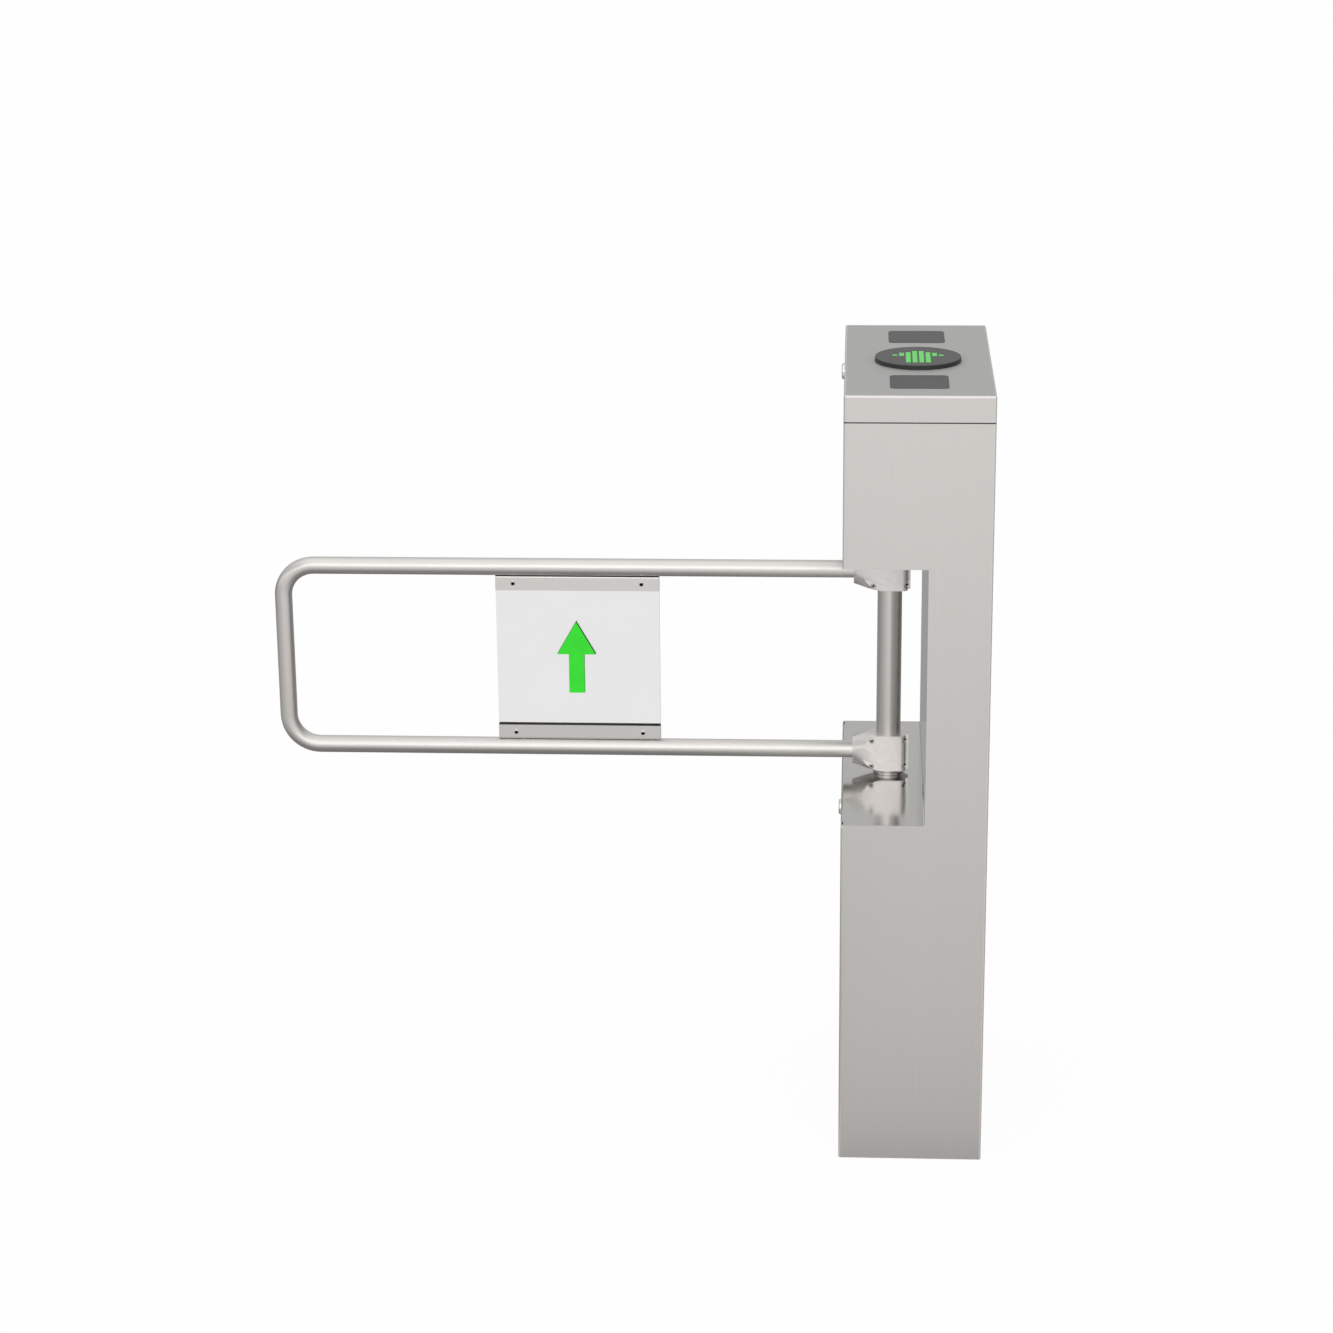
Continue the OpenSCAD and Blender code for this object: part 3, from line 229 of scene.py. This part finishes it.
def painted(name, color, rough=0.38, dusty=0.22, coat=0.25):
    """Sprayed enamel with orange peel and a little dust in the hollows."""
    g = Finish(name)
    dust = g.noise(60.0, 4.0, 0.7)
    base = g.mix(g.remap(dust, 0.42, 0.72, 0.0, dusty), rgb(color), rgb((0.42, 0.41, 0.39)))
    return g.set(Base_Color=base, Roughness=g.stretch(dust, rough - 0.05, rough + 0.12),
                 Normal=g.bump(g.noise(420.0), 0.15, 0.0003), Coat_Weight=coat)


def glossy_sheet(name, color, rough, ior):
    """Smoked or coloured acrylic with a polished face."""
    g = Finish(name)
    marks = g.noise((2600, 420, 2600), 3.0, 0.7)
    return g.set(Base_Color=g.mottle(g.noise(45.0, 3.0), color, 0.95, 1.05), IOR=ior,
                 Roughness=g.remap(marks, 0.35, 0.75, rough - 0.03, rough + 0.07),
                 Normal=g.bump(marks, 0.03, 0.0001))


def clear_sheet(name, color):
    """Clear acrylic: polished faces with faint wiping marks."""
    g = Finish(name)
    marks = g.noise((900, 900, 60), 3.0, 0.7)
    return g.set(Base_Color=g.mottle(g.noise(14.0, 3.0), color, 0.99, 1.01), IOR=1.49,
                 Roughness=g.remap(marks, 0.4, 0.8, 0.02, 0.07), Transmission_Weight=1.0,
                 Normal=g.bump(marks, 0.01, 0.0001))


def lit(name, color, strength):
    """A lit diffuser whose glow is a little uneven."""
    g = Finish(name)
    glow = g.noise(260.0, 2.0)
    return g.set(Base_Color=g.mottle(glow, color, 0.9, 1.08), Roughness=0.35,
                 Emission_Color=rgb(color), Emission_Strength=strength,
                 Normal=g.bump(glow, 0.05, 0.0002))


def circuit(name, color):
    """Solder resist with copper tracks just showing through it."""
    g = Finish(name)
    inputs = {"Vector": g.scaled(260), "Scale": 1.0, "Mortar Size": 0.04,
              "Color1": rgb(color), "Color2": scaled_rgb(color, 1.5),
              "Mortar": scaled_rgb(color, 0.6)}
    tracks = g.new("TexBrick", inputs).outputs
    return g.set(Base_Color=tracks["Color"], Roughness=0.35, Coat_Weight=0.4,
                 Normal=g.bump(tracks["Fac"], 0.2, 0.0001))


def perforated(name, color, rough, pitch):
    """Sheet with a square pattern of round holes in its YZ faces; the holes are painted black,
    as the shade seen through them.
    """
    g = Finish(name)
    hole = g.remap(g.cells((0.0, 1 / pitch, 1 / pitch), 0.0), 0.27, 0.31, 1.0, 0.0)
    grain = g.noise((300, 300, 60), 3.0)
    sheet = g.mottle(grain, color, 0.93, 1.05)
    return g.set(Base_Color=g.mix(hole, sheet, rgb(BLACK)), Metallic=1.0,
                 Roughness=g.stretch(grain, rough - 0.05, rough + 0.05),
                 Normal=g.bump(g.math("MULTIPLY", hole, -1.0), 0.5, 0.0005))


CASE = (0.60, 0.61, 0.62)
# Ground edge finish, lighter than the sheet: its lighter colour is a painted highlight on the
# bent corners and edges, taking away their dark reflections.
linished_lightened = brushed("linished_lightened_edge", (0.74, 0.725, 0.71), 0.5, (1, 1, 0.012),
                   depth=0.02, spread=0.02)
lid_top = satin("lid_top", (0.436, 0.436, 0.43), 0.5, 0.35)
liner_sheet = brushed("liner_lengthwise_grain", (0.575, 0.563, 0.55), 0.14, (1, 0.012, 1),
                      depth=0.02)
# The notch wall: the liner's finish a little lighter, painted light on the wall faces.
liner_wall_lightened = brushed("liner_wall_painted_light", (0.62, 0.607, 0.593), 0.14, (1, 0.012, 1),
                     depth=0.02)
shaft_steel = brushed("ground_shaft", (0.63, 0.615, 0.60), 0.32, (1, 1, 0.03), 1800.0, 0.02)
# Black for the strips in the lid seam and along the infill channels: painted shade in those
# gaps.
rubber = moulded("gap_shade_rubber", BLACK, 0.55)
socket_head = plated("socket_head", (0.84, 0.835, 0.83), 0.07)
# Black for the middle of the screw heads: painted shade in and round the sockets.
painted_socket_shade = moulded("painted_socket_shade", BLACK, 0.7, specular=0.1)
# Near-black green for the arrow's cut sides: painted shade along its edges.
arrow_edge_shade = moulded("green_acrylic_edge_shade", (0.006, 0.05, 0.006), 0.8, specular=0.0)
finishes = {
    "post_sheet": brushed("sheet_vertical_grain", (0.60, 0.586, 0.575), 0.26, (1, 1, 0.012),
                          depth=0.02, spread=0.01),
    # Black rim under the lid: its black is painted shade, darkening the seam.
    "rim_paint": painted("rim_black_seam_shade", BLACK, 0.6, dusty=0.02, coat=0.0),
    "inner_sheet": brushed("rolled_sheet", (0.50, 0.50, 0.50), 0.36, (1, 0.05, 1), 500.0, 0.08),
    "hinge_steel": brushed("hinge_steel", (0.56, 0.55, 0.54), 0.30, (1, 0.02, 1)),
    "arm_steel": brushed("ground_tube", (0.66, 0.645, 0.63), 0.37, (0.03, 1, 1), 1800.0, 0.03),
    "clamp_metal": cast("satin_casting", (0.73, 0.712, 0.70), 0.30, 0.75),
    "channel_steel": brushed("channel_sheet", (0.685, 0.67, 0.655), 0.26, (0.012, 1, 1)),
    "screw_steel": plated("bright_screw", (0.68, 0.68, 0.69), 0.12),
    "acrylic": clear_sheet("clear_acrylic", (0.80, 0.80, 0.80)),
    "arrow_green": glossy_sheet("green_acrylic", (0.036, 0.70, 0.031), 0.25, 1.3),
    "machined_steel": brushed("machined_steel", (0.46, 0.46, 0.48), 0.30, (1, 1, 0.05),
                              700.0, 0.15),
    "cast_housing": cast("painted_casting", (0.20, 0.21, 0.23), 0.50, 0.0, 700.0, 0.35),
    "motor_black": painted("motor_enamel", (0.03, 0.03, 0.035)),
    "black_plastic": moulded("black_moulding", (0.02, 0.02, 0.021), 0.42),
    "window_grey": glossy_sheet("smoked_window", (0.066, 0.066, 0.066), 0.16, 1.13),
    "light_green": lit("lit_bar", (0.075, 0.60, 0.075), 0.16),
    "circuit_board": circuit("circuit_board", (0.02, 0.12, 0.05)),
    "supply_case": brushed("supply_case", CASE, 0.40, (1, 1, 0.2), 300.0, 0.1),
    "terminal_grey": moulded("terminal_grey", (0.26, 0.27, 0.28), 0.5),
    "lock_metal": plated("polished_lock", (0.86, 0.85, 0.84), 0.09),
}


# ---------------------------------------------------------------- dressing of the CAD nodes
def dress(obj, material):
    obj.data.materials.clear()
    obj.data.materials.append(material)


def dress_faces(obj, material, wanted):
    """Give another material to the faces whose normal and centre pass a test."""
    obj.data.materials.append(material)
    for face in obj.data.polygons:
        if wanted(face.normal, face.center):
            face.material_index = len(obj.data.materials) - 1


slots = {s["node"]: s["material_slot"] for s in frame["record"]["subparts"]}
own = {"notch_liner": liner_sheet, "arm_shaft": shaft_steel, "thrust_collar": shaft_steel}
for name, obj in nodes.items():
    dress(obj, own.get(name, finishes[slots[name]]))

dress_faces(nodes["lid_shell"], lid_top, lambda n, c: n.z > 0.99)
# Rounded top edges and bent corners: the lighter ground finish, a painted highlight.
dress_faces(nodes["lid_shell"], linished_lightened, lambda n, c: 0.1 < n.z < 0.99)
for name in ("lid_shell", "outer_wrap"):
    dress_faces(nodes[name], linished_lightened,
                lambda n, c: abs(n.x) > 0.12 and abs(n.y) > 0.12 and abs(n.z) < 0.1)
# The notch wall's faces get the lighter copy of the liner (painted light).
dress_faces(nodes["notch_liner"], liner_wall_lightened, lambda n, c: n.x < -0.9)
dress_faces(nodes["power_supply"], perforated("perforated_case", CASE, 0.38, 5.2 * MM),
            lambda n, c: n.x < -0.9)

# The control board's components stand out from its face towards -X, in two rows.
BOARD_FACE, CAN_TOP = 52.5 * MM, 31.5 * MM
PLUG_TOP, RELAY_TOP, UPPER_ROW = 245 * MM, 285 * MM, 290 * MM
CAN_SIDE = -70 * MM
for material, wanted in (
        (moulded("plug_green", (0.03, 0.34, 0.11), 0.4), lambda n, c: c.z < PLUG_TOP),
        (moulded("relay_blue", (0.02, 0.07, 0.26), 0.35),
         lambda n, c: PLUG_TOP < c.z < RELAY_TOP),
        (brushed("heat_sink", (0.20, 0.20, 0.21), 0.35, (1, 0.05, 1), 500.0, 0.1),
         lambda n, c: c.z > UPPER_ROW and c.y > CAN_SIDE),
        (moulded("can_sleeve", (0.015, 0.018, 0.03), 0.3),
         lambda n, c: c.z > UPPER_ROW and c.y < CAN_SIDE),
        (brushed("can_top", (0.70, 0.70, 0.71), 0.25, (1, 1, 1), 600.0, 0.05),
         lambda n, c: c.x < CAN_TOP and n.x < -0.9 and c.y < CAN_SIDE)):
    dress_faces(nodes["control_board"], material,
                lambda n, c: c.x < BOARD_FACE and wanted(n, c))


# ---------------------------------------------------------------- mesh helpers
def mesh_object(name, bm):
    mesh = bpy.data.meshes.new(name)
    bmesh.ops.recalc_face_normals(bm, faces=bm.faces)
    bm.to_mesh(mesh)
    bm.free()
    obj = bpy.data.objects.new(name, mesh)
    scene.collection.objects.link(obj)
    return obj


def joined(name, parts):
    """One object from several bmeshes."""
    whole = bmesh.new()
    for part in parts:
        mesh = bpy.data.meshes.new("part")
        part.to_mesh(mesh)
        part.free()
        whole.from_mesh(mesh)
        bpy.data.meshes.remove(mesh)
    return mesh_object(name, whole)


def hull_of(name, points):
    """Convex solid round a list of points."""
    bm = bmesh.new()
    for point in points:
        bm.verts.new(point)
    made = bmesh.ops.convex_hull(bm, input=bm.verts)
    spare = {v for v in made["geom_interior"] + made["geom_unused"]
             if isinstance(v, bmesh.types.BMVert)}
    bmesh.ops.delete(bm, geom=list(spare), context="VERTS")
    return mesh_object(name, bm)


def prism(outline, low, high, axis=1):
    """Bmesh with an outline in the other two axes, from low to high along an axis."""
    bm = bmesh.new()

    def at(point, depth):
        full = list(point)
        full.insert(axis, depth)
        return full
    near, far = ([bm.verts.new(at(point, depth)) for point in outline]
                 for depth in (low, high))
    bm.faces.new(near)
    bm.faces.new(list(reversed(far)))
    count = len(outline)
    for k in range(count):
        after = (k + 1) % count
        bm.faces.new([near[k], far[k], far[after], near[after]])
    return bm


def lathe(profile, count, place, axis):
    """Bmesh turned from (radius, height) pairs about an axis through a place."""
    bm = bmesh.new()
    turn = Vector((0, 0, 1)).rotation_difference(Vector(axis)).to_matrix()
    rings = []
    for radius, height in profile:
        spots = circle_of((0, 0), radius, count) if radius > 0 else [(0, 0)]
        rings.append([bm.verts.new(turn @ Vector((x, y, height)) + Vector(place))
                      for x, y in spots])
    for low, high in zip(rings, rings[1:]):
        for k in range(count):
            corners = [low[k % len(low)], low[(k + 1) % len(low)],
                       high[(k + 1) % len(high)], high[k % len(high)]]
            unique = list(dict.fromkeys(corners))
            if len(unique) > 2:
                bm.faces.new(unique)
    return bm


def circle_of(center, radius, count):
    turns = [math.tau * k / count for k in range(count)]
    return [(center[0] + radius * math.cos(a), center[1] + radius * math.sin(a)) for a in turns]


def box_of(x0, y0, x1, y1):
    return [(x0, y0), (x1, y0), (x1, y1), (x0, y1)]


def drop(obj):
    mesh = obj.data
    bpy.data.objects.remove(obj)
    bpy.data.meshes.remove(mesh)


def cut(obj, kind, *form):
    """Boolean with a prism."""
    tool = mesh_object("tool", prism(*form))
    step = obj.modifiers.new("cut", "BOOLEAN")
    step.operation = kind
    step.solver = "EXACT"
    step.object = tool
    bpy.context.view_layer.update()
    view = bpy.context.evaluated_depsgraph_get()
    shape = bpy.data.meshes.new_from_object(obj.evaluated_get(view))
    obj.modifiers.clear()
    old, obj.data = obj.data, shape
    bpy.data.meshes.remove(old)
    drop(tool)


def bevel(obj, width):
    """Two-step bevel on the sharp edges."""
    step = obj.modifiers.new("bevel", "BEVEL")
    step.width = width
    step.segments = 2
    return step


def soften(obj, width):
    """Rounded edges with even shading."""
    step = bevel(obj, width)
    step.limit_method = "ANGLE"
    step.angle_limit = math.radians(35)
    step.harden_normals = True
    obj.data.shade_smooth()


def settle(obj, body, slot, material, *replaced):
    """Finish a piece: material, body and the CAD nodes it stands for, which it hides; the slot
    is not used.
    """
    dress(obj, material)
    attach(obj, body)
    if replaced:
        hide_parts(*replaced)


# ---------------------------------------------------------------- screw heads
def button_head(place, side, radius, height):
    """Domed head with a socket, facing -Y or +Y."""
    dome = [(radius * math.cos(a), height * 0.25 + height * 0.75 * math.sin(a))
            for a in (math.radians(t) for t in (0, 15, 30, 45, 55))]
    crown = dome[-1][1]
    rim = dome[-1][0] * 0.92
    profile = [(0.0, 0.0), (radius, 0.0), *dome, (rim, crown),
               (rim * 0.9, height * 0.1), (0.0, height * 0.05)]
    return lathe(profile, 28, place, (0, side, 0))


def screw_heads(name, node, places, radius, height, dark):
    """Bright heads at (X, seat depth, Z), front and rear; their middle, out to the share dark
    of the radius, is painted black as shade in the socket.
    """
    obj = joined(name, [button_head((x, side * seat, z), side, radius, height)
                        for x, seat, z in places for side in (-1, 1)])
    soften(obj, 0.12 * MM)
    settle(obj, "arm", "screw_steel", socket_head, node)

    # Painted shade: faces within the share dark of the radius from a head's axis, in the socket
    # and on the dome round it, get the black material.
    def in_socket_shade(normal, center):
        away = min(math.hypot(center.x - x, center.z - z) for x, seat, z in places)
        return away < dark * radius
    dress_faces(obj, painted_socket_shade, in_socket_shade)


# ---------------------------------------------------------------- clamps
SHAFT_X, LOW_Z, HIGH_Z = -31 * MM, 480 * MM, 720 * MM
SHAFT_R, TUBE_R, POCKET_R = 15.5 * MM, 11 * MM, 3.3 * MM
PAD_Y, FLANGE_Y, LIP_Y, PARTING_Y = 18.5 * MM, 8 * MM, 5 * MM, 0.3 * MM
CLAMP_SCREWS = [(x, seat, z) for x, seat in ((-21 * MM, 15.5 * MM), (21 * MM, FLANGE_Y))
                for z in (-17 * MM, 17 * MM)]


def clamp_front():
    """Front half of a split clamp about its own centre: an oval pad lofted to the tube's ring.

    X runs along the tube and Z is up. Numbers without MM are in millimetres.
    """
    top, tip_top, over = 23.5, 17, 25
    ear, waist, tip, flange = 25.7, -28, -45.5, 12
    pad_r, corner, round_r, ring_r, ring_l = 34, 15.3, 7, 12.1, 1.3
    edge = [(ear, -top), (ear, top), (waist, top), (tip, tip_top), (tip, -tip_top),
            (waist, -top)]
    points = []
    for k in range(72):
        a = math.tau * k / 72
        x, z = math.cos(a), math.sin(a)
        if x < 0.2:
            points.append((pad_r * MM * x, -PAD_Y, over * MM * z))
    points += [(x * MM, y, z * MM) for x, z in edge if x < 0 for y in (-LIP_Y, -PARTING_Y)]
    points += [(flange * MM, y, z * MM) for z in (-over, over) for y in (-LIP_Y, -PARTING_Y)]
    for k in range(25):
        a = math.pi * k / 24
        for x in (tip, tip + ring_l):
            points.append((x * MM, -ring_r * MM * math.sin(a) - PARTING_Y,
                           ring_r * MM * math.cos(a)))
    for k in range(7):
        a = math.pi / 2 * k / 6
        for z in (-over, over):
            points.append(((corner + round_r * math.sin(a)) * MM,
                           -PAD_Y + round_r * MM * (1 - math.cos(a)), z * MM))
    for z in (-over, over):
        points.append(((corner + round_r) * MM, -PARTING_Y, z * MM))

    body = hull_of("body", points)
    cut(body, "INTERSECT", [(x * MM, z * MM) for x, z in edge], -2 * PAD_Y, -PARTING_Y)
    ears = box_of(flange * MM, -top * MM, ear * MM, top * MM)
    cut(body, "UNION", ears, -FLANGE_Y, -PARTING_Y)
    cut(body, "DIFFERENCE", circle_of((0, 0), SHAFT_R, 64), -40 * MM, 40 * MM, 2)
    cut(body, "DIFFERENCE", circle_of((0, 0), TUBE_R, 48), -80 * MM, -12 * MM, 0)
    relief = box_of(22.5 * MM, -12.5 * MM, 24.2 * MM, 12.5 * MM)
    cut(body, "DIFFERENCE", relief, -10 * MM, -3 * MM)
    for x, seat, z in CLAMP_SCREWS:
        cut(body, "DIFFERENCE", circle_of((x, z), POCKET_R, 24), -40 * MM, -seat)
    return body


half = clamp_front()
for level, middle in (("lower", LOW_Z), ("upper", HIGH_Z)):
    for side, sign in (("front", 1), ("rear", -1)):
        mesh = half.data.copy()
        place = Matrix.Translation((SHAFT_X, 0, middle))
        mesh.transform(place @ Matrix.Diagonal((1, sign, 1, 1)))
        if sign < 0:
            mesh.flip_normals()
        piece = bpy.data.objects.new(f"{level}_{side}_casting", mesh)
        scene.collection.objects.link(piece)
        soften(piece, 0.3 * MM)
        settle(piece, "arm", "clamp_metal", finishes["clamp_metal"], f"{level}_clamp_{side}")
drop(half)
screw_heads("clamp_screw_heads", "clamp_screws",
            [(SHAFT_X + x, seat, middle + z) for middle in (LOW_Z, HIGH_Z)
             for x, seat, z in CLAMP_SCREWS], 2.8 * MM, 2.4 * MM, dark=0.53)

# ---------------------------------------------------------------- infill trim
INFILL_X0, INFILL_X1 = -530 * MM, -322 * MM
screw_heads("channel_screw_heads", "channel_screws",
            [(x, 5.0 * MM, z) for x in (INFILL_X0 + 22.5 * MM, INFILL_X1 - 22.5 * MM)
             for z in (500.5 * MM, 699.5 * MM)], 3.1 * MM, 2.9 * MM, dark=0.66)


def gap_shade_strip(name, low, high, near, far):
    """Round-edged rubber strip along the infill, on both sides of the sheet; its black is
    painted shade in the gap at the channel's edge.
    """
    parts = []
    for side in (-1, 1):
        lo, hi = sorted((side * near, side * far))
        r = min(hi - lo, high - low) * 0.3
        outline = [(lo + r, low), (hi - r, low), (hi, low + r), (hi, high - r),
                   (hi - r, high), (lo + r, high), (lo, high - r), (lo, low + r)]
        parts.append(prism(outline, INFILL_X0 + 0.5 * MM, INFILL_X1 - 0.5 * MM, 0))
    return joined(name, parts)


for strip in (gap_shade_strip("lower_gap_shade_strip", 506 * MM, 511.3 * MM, 2.55 * MM, 3.5 * MM),
              gap_shade_strip("upper_gap_shade_strip", 708.6 * MM, 710.2 * MM, 1.0 * MM, 4.6 * MM)):
    strip.data.shade_smooth()
    settle(strip, "arm", "black_plastic", rubber)


# ---------------------------------------------------------------- trim on the post
def seam_shade_strip():
    """Rubber strip in the seam under the lid, on the three sides away from the hinge; its black
    is painted shade that darkens the seam.
    """
    x, y, low, high, thick = 89.9 * MM, 197.4 * MM, 956.6 * MM, 957.85 * MM, 1.6 * MM
    right = x - 1 * MM
    front = box_of(-x, -y, right, thick - y)
    rear = box_of(-x, y - thick, right, y)
    left = box_of(-x, thick - y, thick - x, y - thick)
    return joined("seam_shade_strip", [prism(strip, low, high, 2) for strip in (front, rear, left)])


def corner_fills():
    """Ground weld fill at the notch floor's outer corners."""
    return joined("corner_fills", [
        prism(box_of(-89.8 * MM, y0 * MM, -86 * MM, y1 * MM), 445.5 * MM, 449.8 * MM, 2)
        for y0, y1 in ((-197.3, -193.5), (193.5, 197.3))])


settle(seam_shade_strip(), "post", "rim_paint", rubber)
fills = corner_fills()
soften(fills, 0.5 * MM)
# Corner fills: the lighter ground finish, a painted highlight.
settle(fills, "post", "post_sheet", linished_lightened)


# ---------------------------------------------------------------- arrow
def arrow_piece():
    """Arrow cut from thick acrylic, standing on the sheet's front face."""
    middle, low, high = -428 * MM, 555.2 * MM, 649.8 * MM
    neck = high - 43.2 * MM
    stem, wing = 9.9 * MM, 24.6 * MM
    outline = [(middle - stem, low), (middle + stem, low), (middle + stem, neck),
               (middle + wing, neck), (middle, high), (middle - wing, neck),
               (middle - stem, neck)]
    return mesh_object("arrow_plate", prism(outline, -8.6 * MM, -2.6 * MM))


arrow = arrow_piece()
settle(arrow, "arm", "arrow_green", finishes["arrow_green"], "direction_arrow")
# The arrow's sides, painted dark as shade along its edges.
dress_faces(arrow, arrow_edge_shade, lambda n, c: abs(n.y) < 0.5)
bevel(arrow, 0.15 * MM)

# ---------------------------------------------------------------- stage and light
WHITE = (1, 1, 1, 1)
# Floor tones seen in reflections. Their dark values near the post and the arm are painted shade
# for the shadow there.
POST_TONES = [
    (-4.0, (1.17, 1.15, 1.13)), (-2.4, (0.99, 0.975, 0.96)), (-1.2, (0.86, 0.85, 0.84)),
    (-0.6, (0.79, 0.78, 0.77)), (-0.3, (0.69, 0.68, 0.67)), (-0.05, (0.42, 0.41, 0.40)),
    (0.4, (0.30, 0.295, 0.29)), (1.0, (0.34, 0.335, 0.33)), (3.0, (0.36, 0.355, 0.35)),
    (4.0, (0.40, 0.40, 0.40))]
ARM_TONES = [
    (0.0, (0.27, 0.265, 0.26)), (0.45, (0.29, 0.285, 0.28)), (0.76, (0.48, 0.47, 0.46)),
    (1.2, (0.74, 0.73, 0.72)), (2.3, (0.90, 0.89, 0.88)), (4.0, (1.06, 1.05, 1.04))]
BEHIND_ARM = [(-1.0, 1.0), (-0.2, 0.95), (0.5, 0.66), (2.5, 0.42)]
ARM_TO_POST = [(-0.4, 1.0), (-0.25, 1.0), (-0.12, 0.0), (0.0, 0.0)]
LEFT_TO_RIGHT = [(-3.4, 0.5), (-2.6, 0.68), (-2.0, 0.82), (-1.4, 0.93), (-0.9, 1.0),
                 (0.05, 1.0), (0.8, 0.86), (1.3, 0.9), (2.4, 1.0)]
SKY_DEPTH = [(-1.0, (1.16, 1.14, 1.12)), (-0.5, (1.12, 1.10, 1.08)), (0.0, (0.85, 0.84, 0.83)),
             (0.5, (0.66, 0.665, 0.66)), (1.0, (0.66, 0.67, 0.66))]
SKY_SIDE = [(-1.0, 0.85), (-0.3, 1.0), (0.35, 1.0), (0.8, 0.5), (1.0, 0.45)]
SKY_LOW_BEHIND = [(-1.0, 0.6), (0.0, 0.6), (0.12, 0.7), (0.27, 1.0), (1.0, 1.0)]
SKY_FRONT = [(-1.0, 1.0), (0.0, 0.95), (0.12, 1.05), (0.19, 1.45), (0.31, 1.42), (0.4, 0.5),
             (0.6, 0.5), (0.72, 0.9), (0.87, 1.15), (1.0, 1.1)]
SKY_AHEAD = [(-1.0, 1.0), (-0.3, 1.0), (0.1, 0.0), (1.0, 0.0)]
SKY_ABOVE = [(0.0, 0.0), (0.28, 0.0), (0.5, 0.05), (0.85, 0.38), (1.0, 0.8)]
ARM_END_X = -0.8
FLOOR_SIZE, FLOOR_GLOW = 40.0, 0.955


def floor_tones(g):
    """Brightness of the floor in reflections: it falls off to the back and near the arm. The
    darker floor near the post and the arm is painted shade, standing in for their shadow.
    """
    place = g.new("SeparateXYZ", {0: g.new("TexCoord").outputs["Object"]}).outputs
    x, y = place["X"], place["Y"]
    post = g.ramp(y, -4.0, 4.0, POST_TONES)
    past_arm = g.math("MAXIMUM", g.math("SUBTRACT", ARM_END_X, x), 0.0)
    away = g.math("SQRT", g.math("ADD", g.math("MULTIPLY", past_arm, past_arm),
                                 g.math("MULTIPLY", y, y)))
    arm = g.times(g.ramp(away, 0.0, 4.0, ARM_TONES), g.ramp(y, -1.0, 2.5, BEHIND_ARM))
    both = g.mix(g.ramp(x, -0.4, 0.0, ARM_TO_POST), post, arm)
    return g.times(both, g.ramp(x, -3.4, 2.4, LEFT_TO_RIGHT))


def stage_floor():
    """Pale floor: white to the camera with a share of real shading, toned in reflections."""
    mesh = bpy.data.meshes.new("floor")
    corners = box_of(-FLOOR_SIZE, -FLOOR_SIZE, FLOOR_SIZE, FLOOR_SIZE)
    mesh.from_pydata([(x, y, 0) for x, y in corners], [], [(0, 1, 2, 3)])
    floor = bpy.data.objects.new("floor", mesh)
    scene.collection.objects.link(floor)
    mat = bpy.data.materials.new("floor")
    mat.use_nodes = True
    mat.node_tree.nodes.clear()
    g = Graph(mat.node_tree)
    matte = g.new("BsdfDiffuse", {"Color": rgb((0.92, 0.92, 0.92))})
    seen = g.seen()
    glow = g.new("Emission", {"Color": g.mix(seen, floor_tones(g), WHITE)})
    glossy = g.new("LightPath").outputs["Is Glossy Ray"]
    share = g.math("MULTIPLY", g.math("MAXIMUM", seen, glossy), FLOOR_GLOW)
    mixed = g.new("MixShader", {0: share, 1: matte.outputs[0], 2: glow.outputs[0]})
    g.new("OutputMaterial", {"Surface": mixed.outputs[0]})
    mesh.materials.append(mat)


def stage_world():
    """Soft studio: warm and bright in front, cooler and darker behind and to the right."""
    scene.world = bpy.data.worlds.new("studio")
    scene.world.use_nodes = True
    g = Graph(scene.world.node_tree)
    way = g.new("SeparateXYZ", {0: g.new("TexCoord").outputs["Generated"]}).outputs
    x, y, z = way["X"], way["Y"], way["Z"]
    tone = g.times(g.ramp(y, -1.0, 1.0, SKY_DEPTH), g.ramp(x, -1.0, 1.0, SKY_SIDE))
    low = g.ramp(z, -1.0, 1.0, SKY_LOW_BEHIND)
    tone = g.mix(g.math("GREATER_THAN", y, 0.3), tone, g.times(tone, low))
    front = g.ramp(z, -1.0, 1.0, SKY_FRONT)
    tone = g.mix(g.ramp(y, -1.0, 1.0, SKY_AHEAD), tone, g.times(tone, front))
    tone = g.mix(g.ramp(z, 0.0, 1.0, SKY_ABOVE), tone, rgb((1.3, 1.29, 1.28)))
    back = scene.world.node_tree.nodes["Background"]
    g.plug(g.mix(g.seen(), tone, WHITE), back.inputs["Color"])
    back.inputs["Strength"].default_value = 1.0


def area_light(name, place, aim, size, radiance, color=(1, 1, 1)):
    """A rectangular soft box of the given radiance, turned to a point."""
    data = bpy.data.lights.new(name, "AREA")
    data.shape = "RECTANGLE"
    data.size, data.size_y = size
    data.energy = radiance * math.pi * size[0] * size[1]
    data.color = color
    lamp = bpy.data.objects.new(name, data)
    lamp.location = place
    lamp.rotation_euler = (Vector(aim) - Vector(place)).to_track_quat("-Z", "Y").to_euler()
    scene.collection.objects.link(lamp)


def stage_camera():
    """The photograph's viewpoint, solved from the post's corners."""
    data = bpy.data.cameras.new("camera")
    data.sensor_width = 36.0
    data.sensor_fit = "HORIZONTAL"
    data.lens = 88.68
    data.clip_end = 100.0
    camera = bpy.data.objects.new("camera", data)
    camera.location = (-0.0722, -3.9721, 1.8858)
    camera.rotation_euler = [math.radians(a) for a in (71.945, 0.549, 3.304)]
    scene.collection.objects.link(camera)
    scene.camera = camera


stage_floor()
stage_world()
stage_camera()
area_light("key", (-0.7, -4.2, 3.0), (-0.2, 0, 0.6), (3.6, 2.8), 0.95, (1.0, 0.985, 0.97))
area_light("fill", (2.6, -2.2, 2.2), (0, 0, 0.6), (1.6, 1.6), 0.5)
scene.view_settings.view_transform = "Standard"
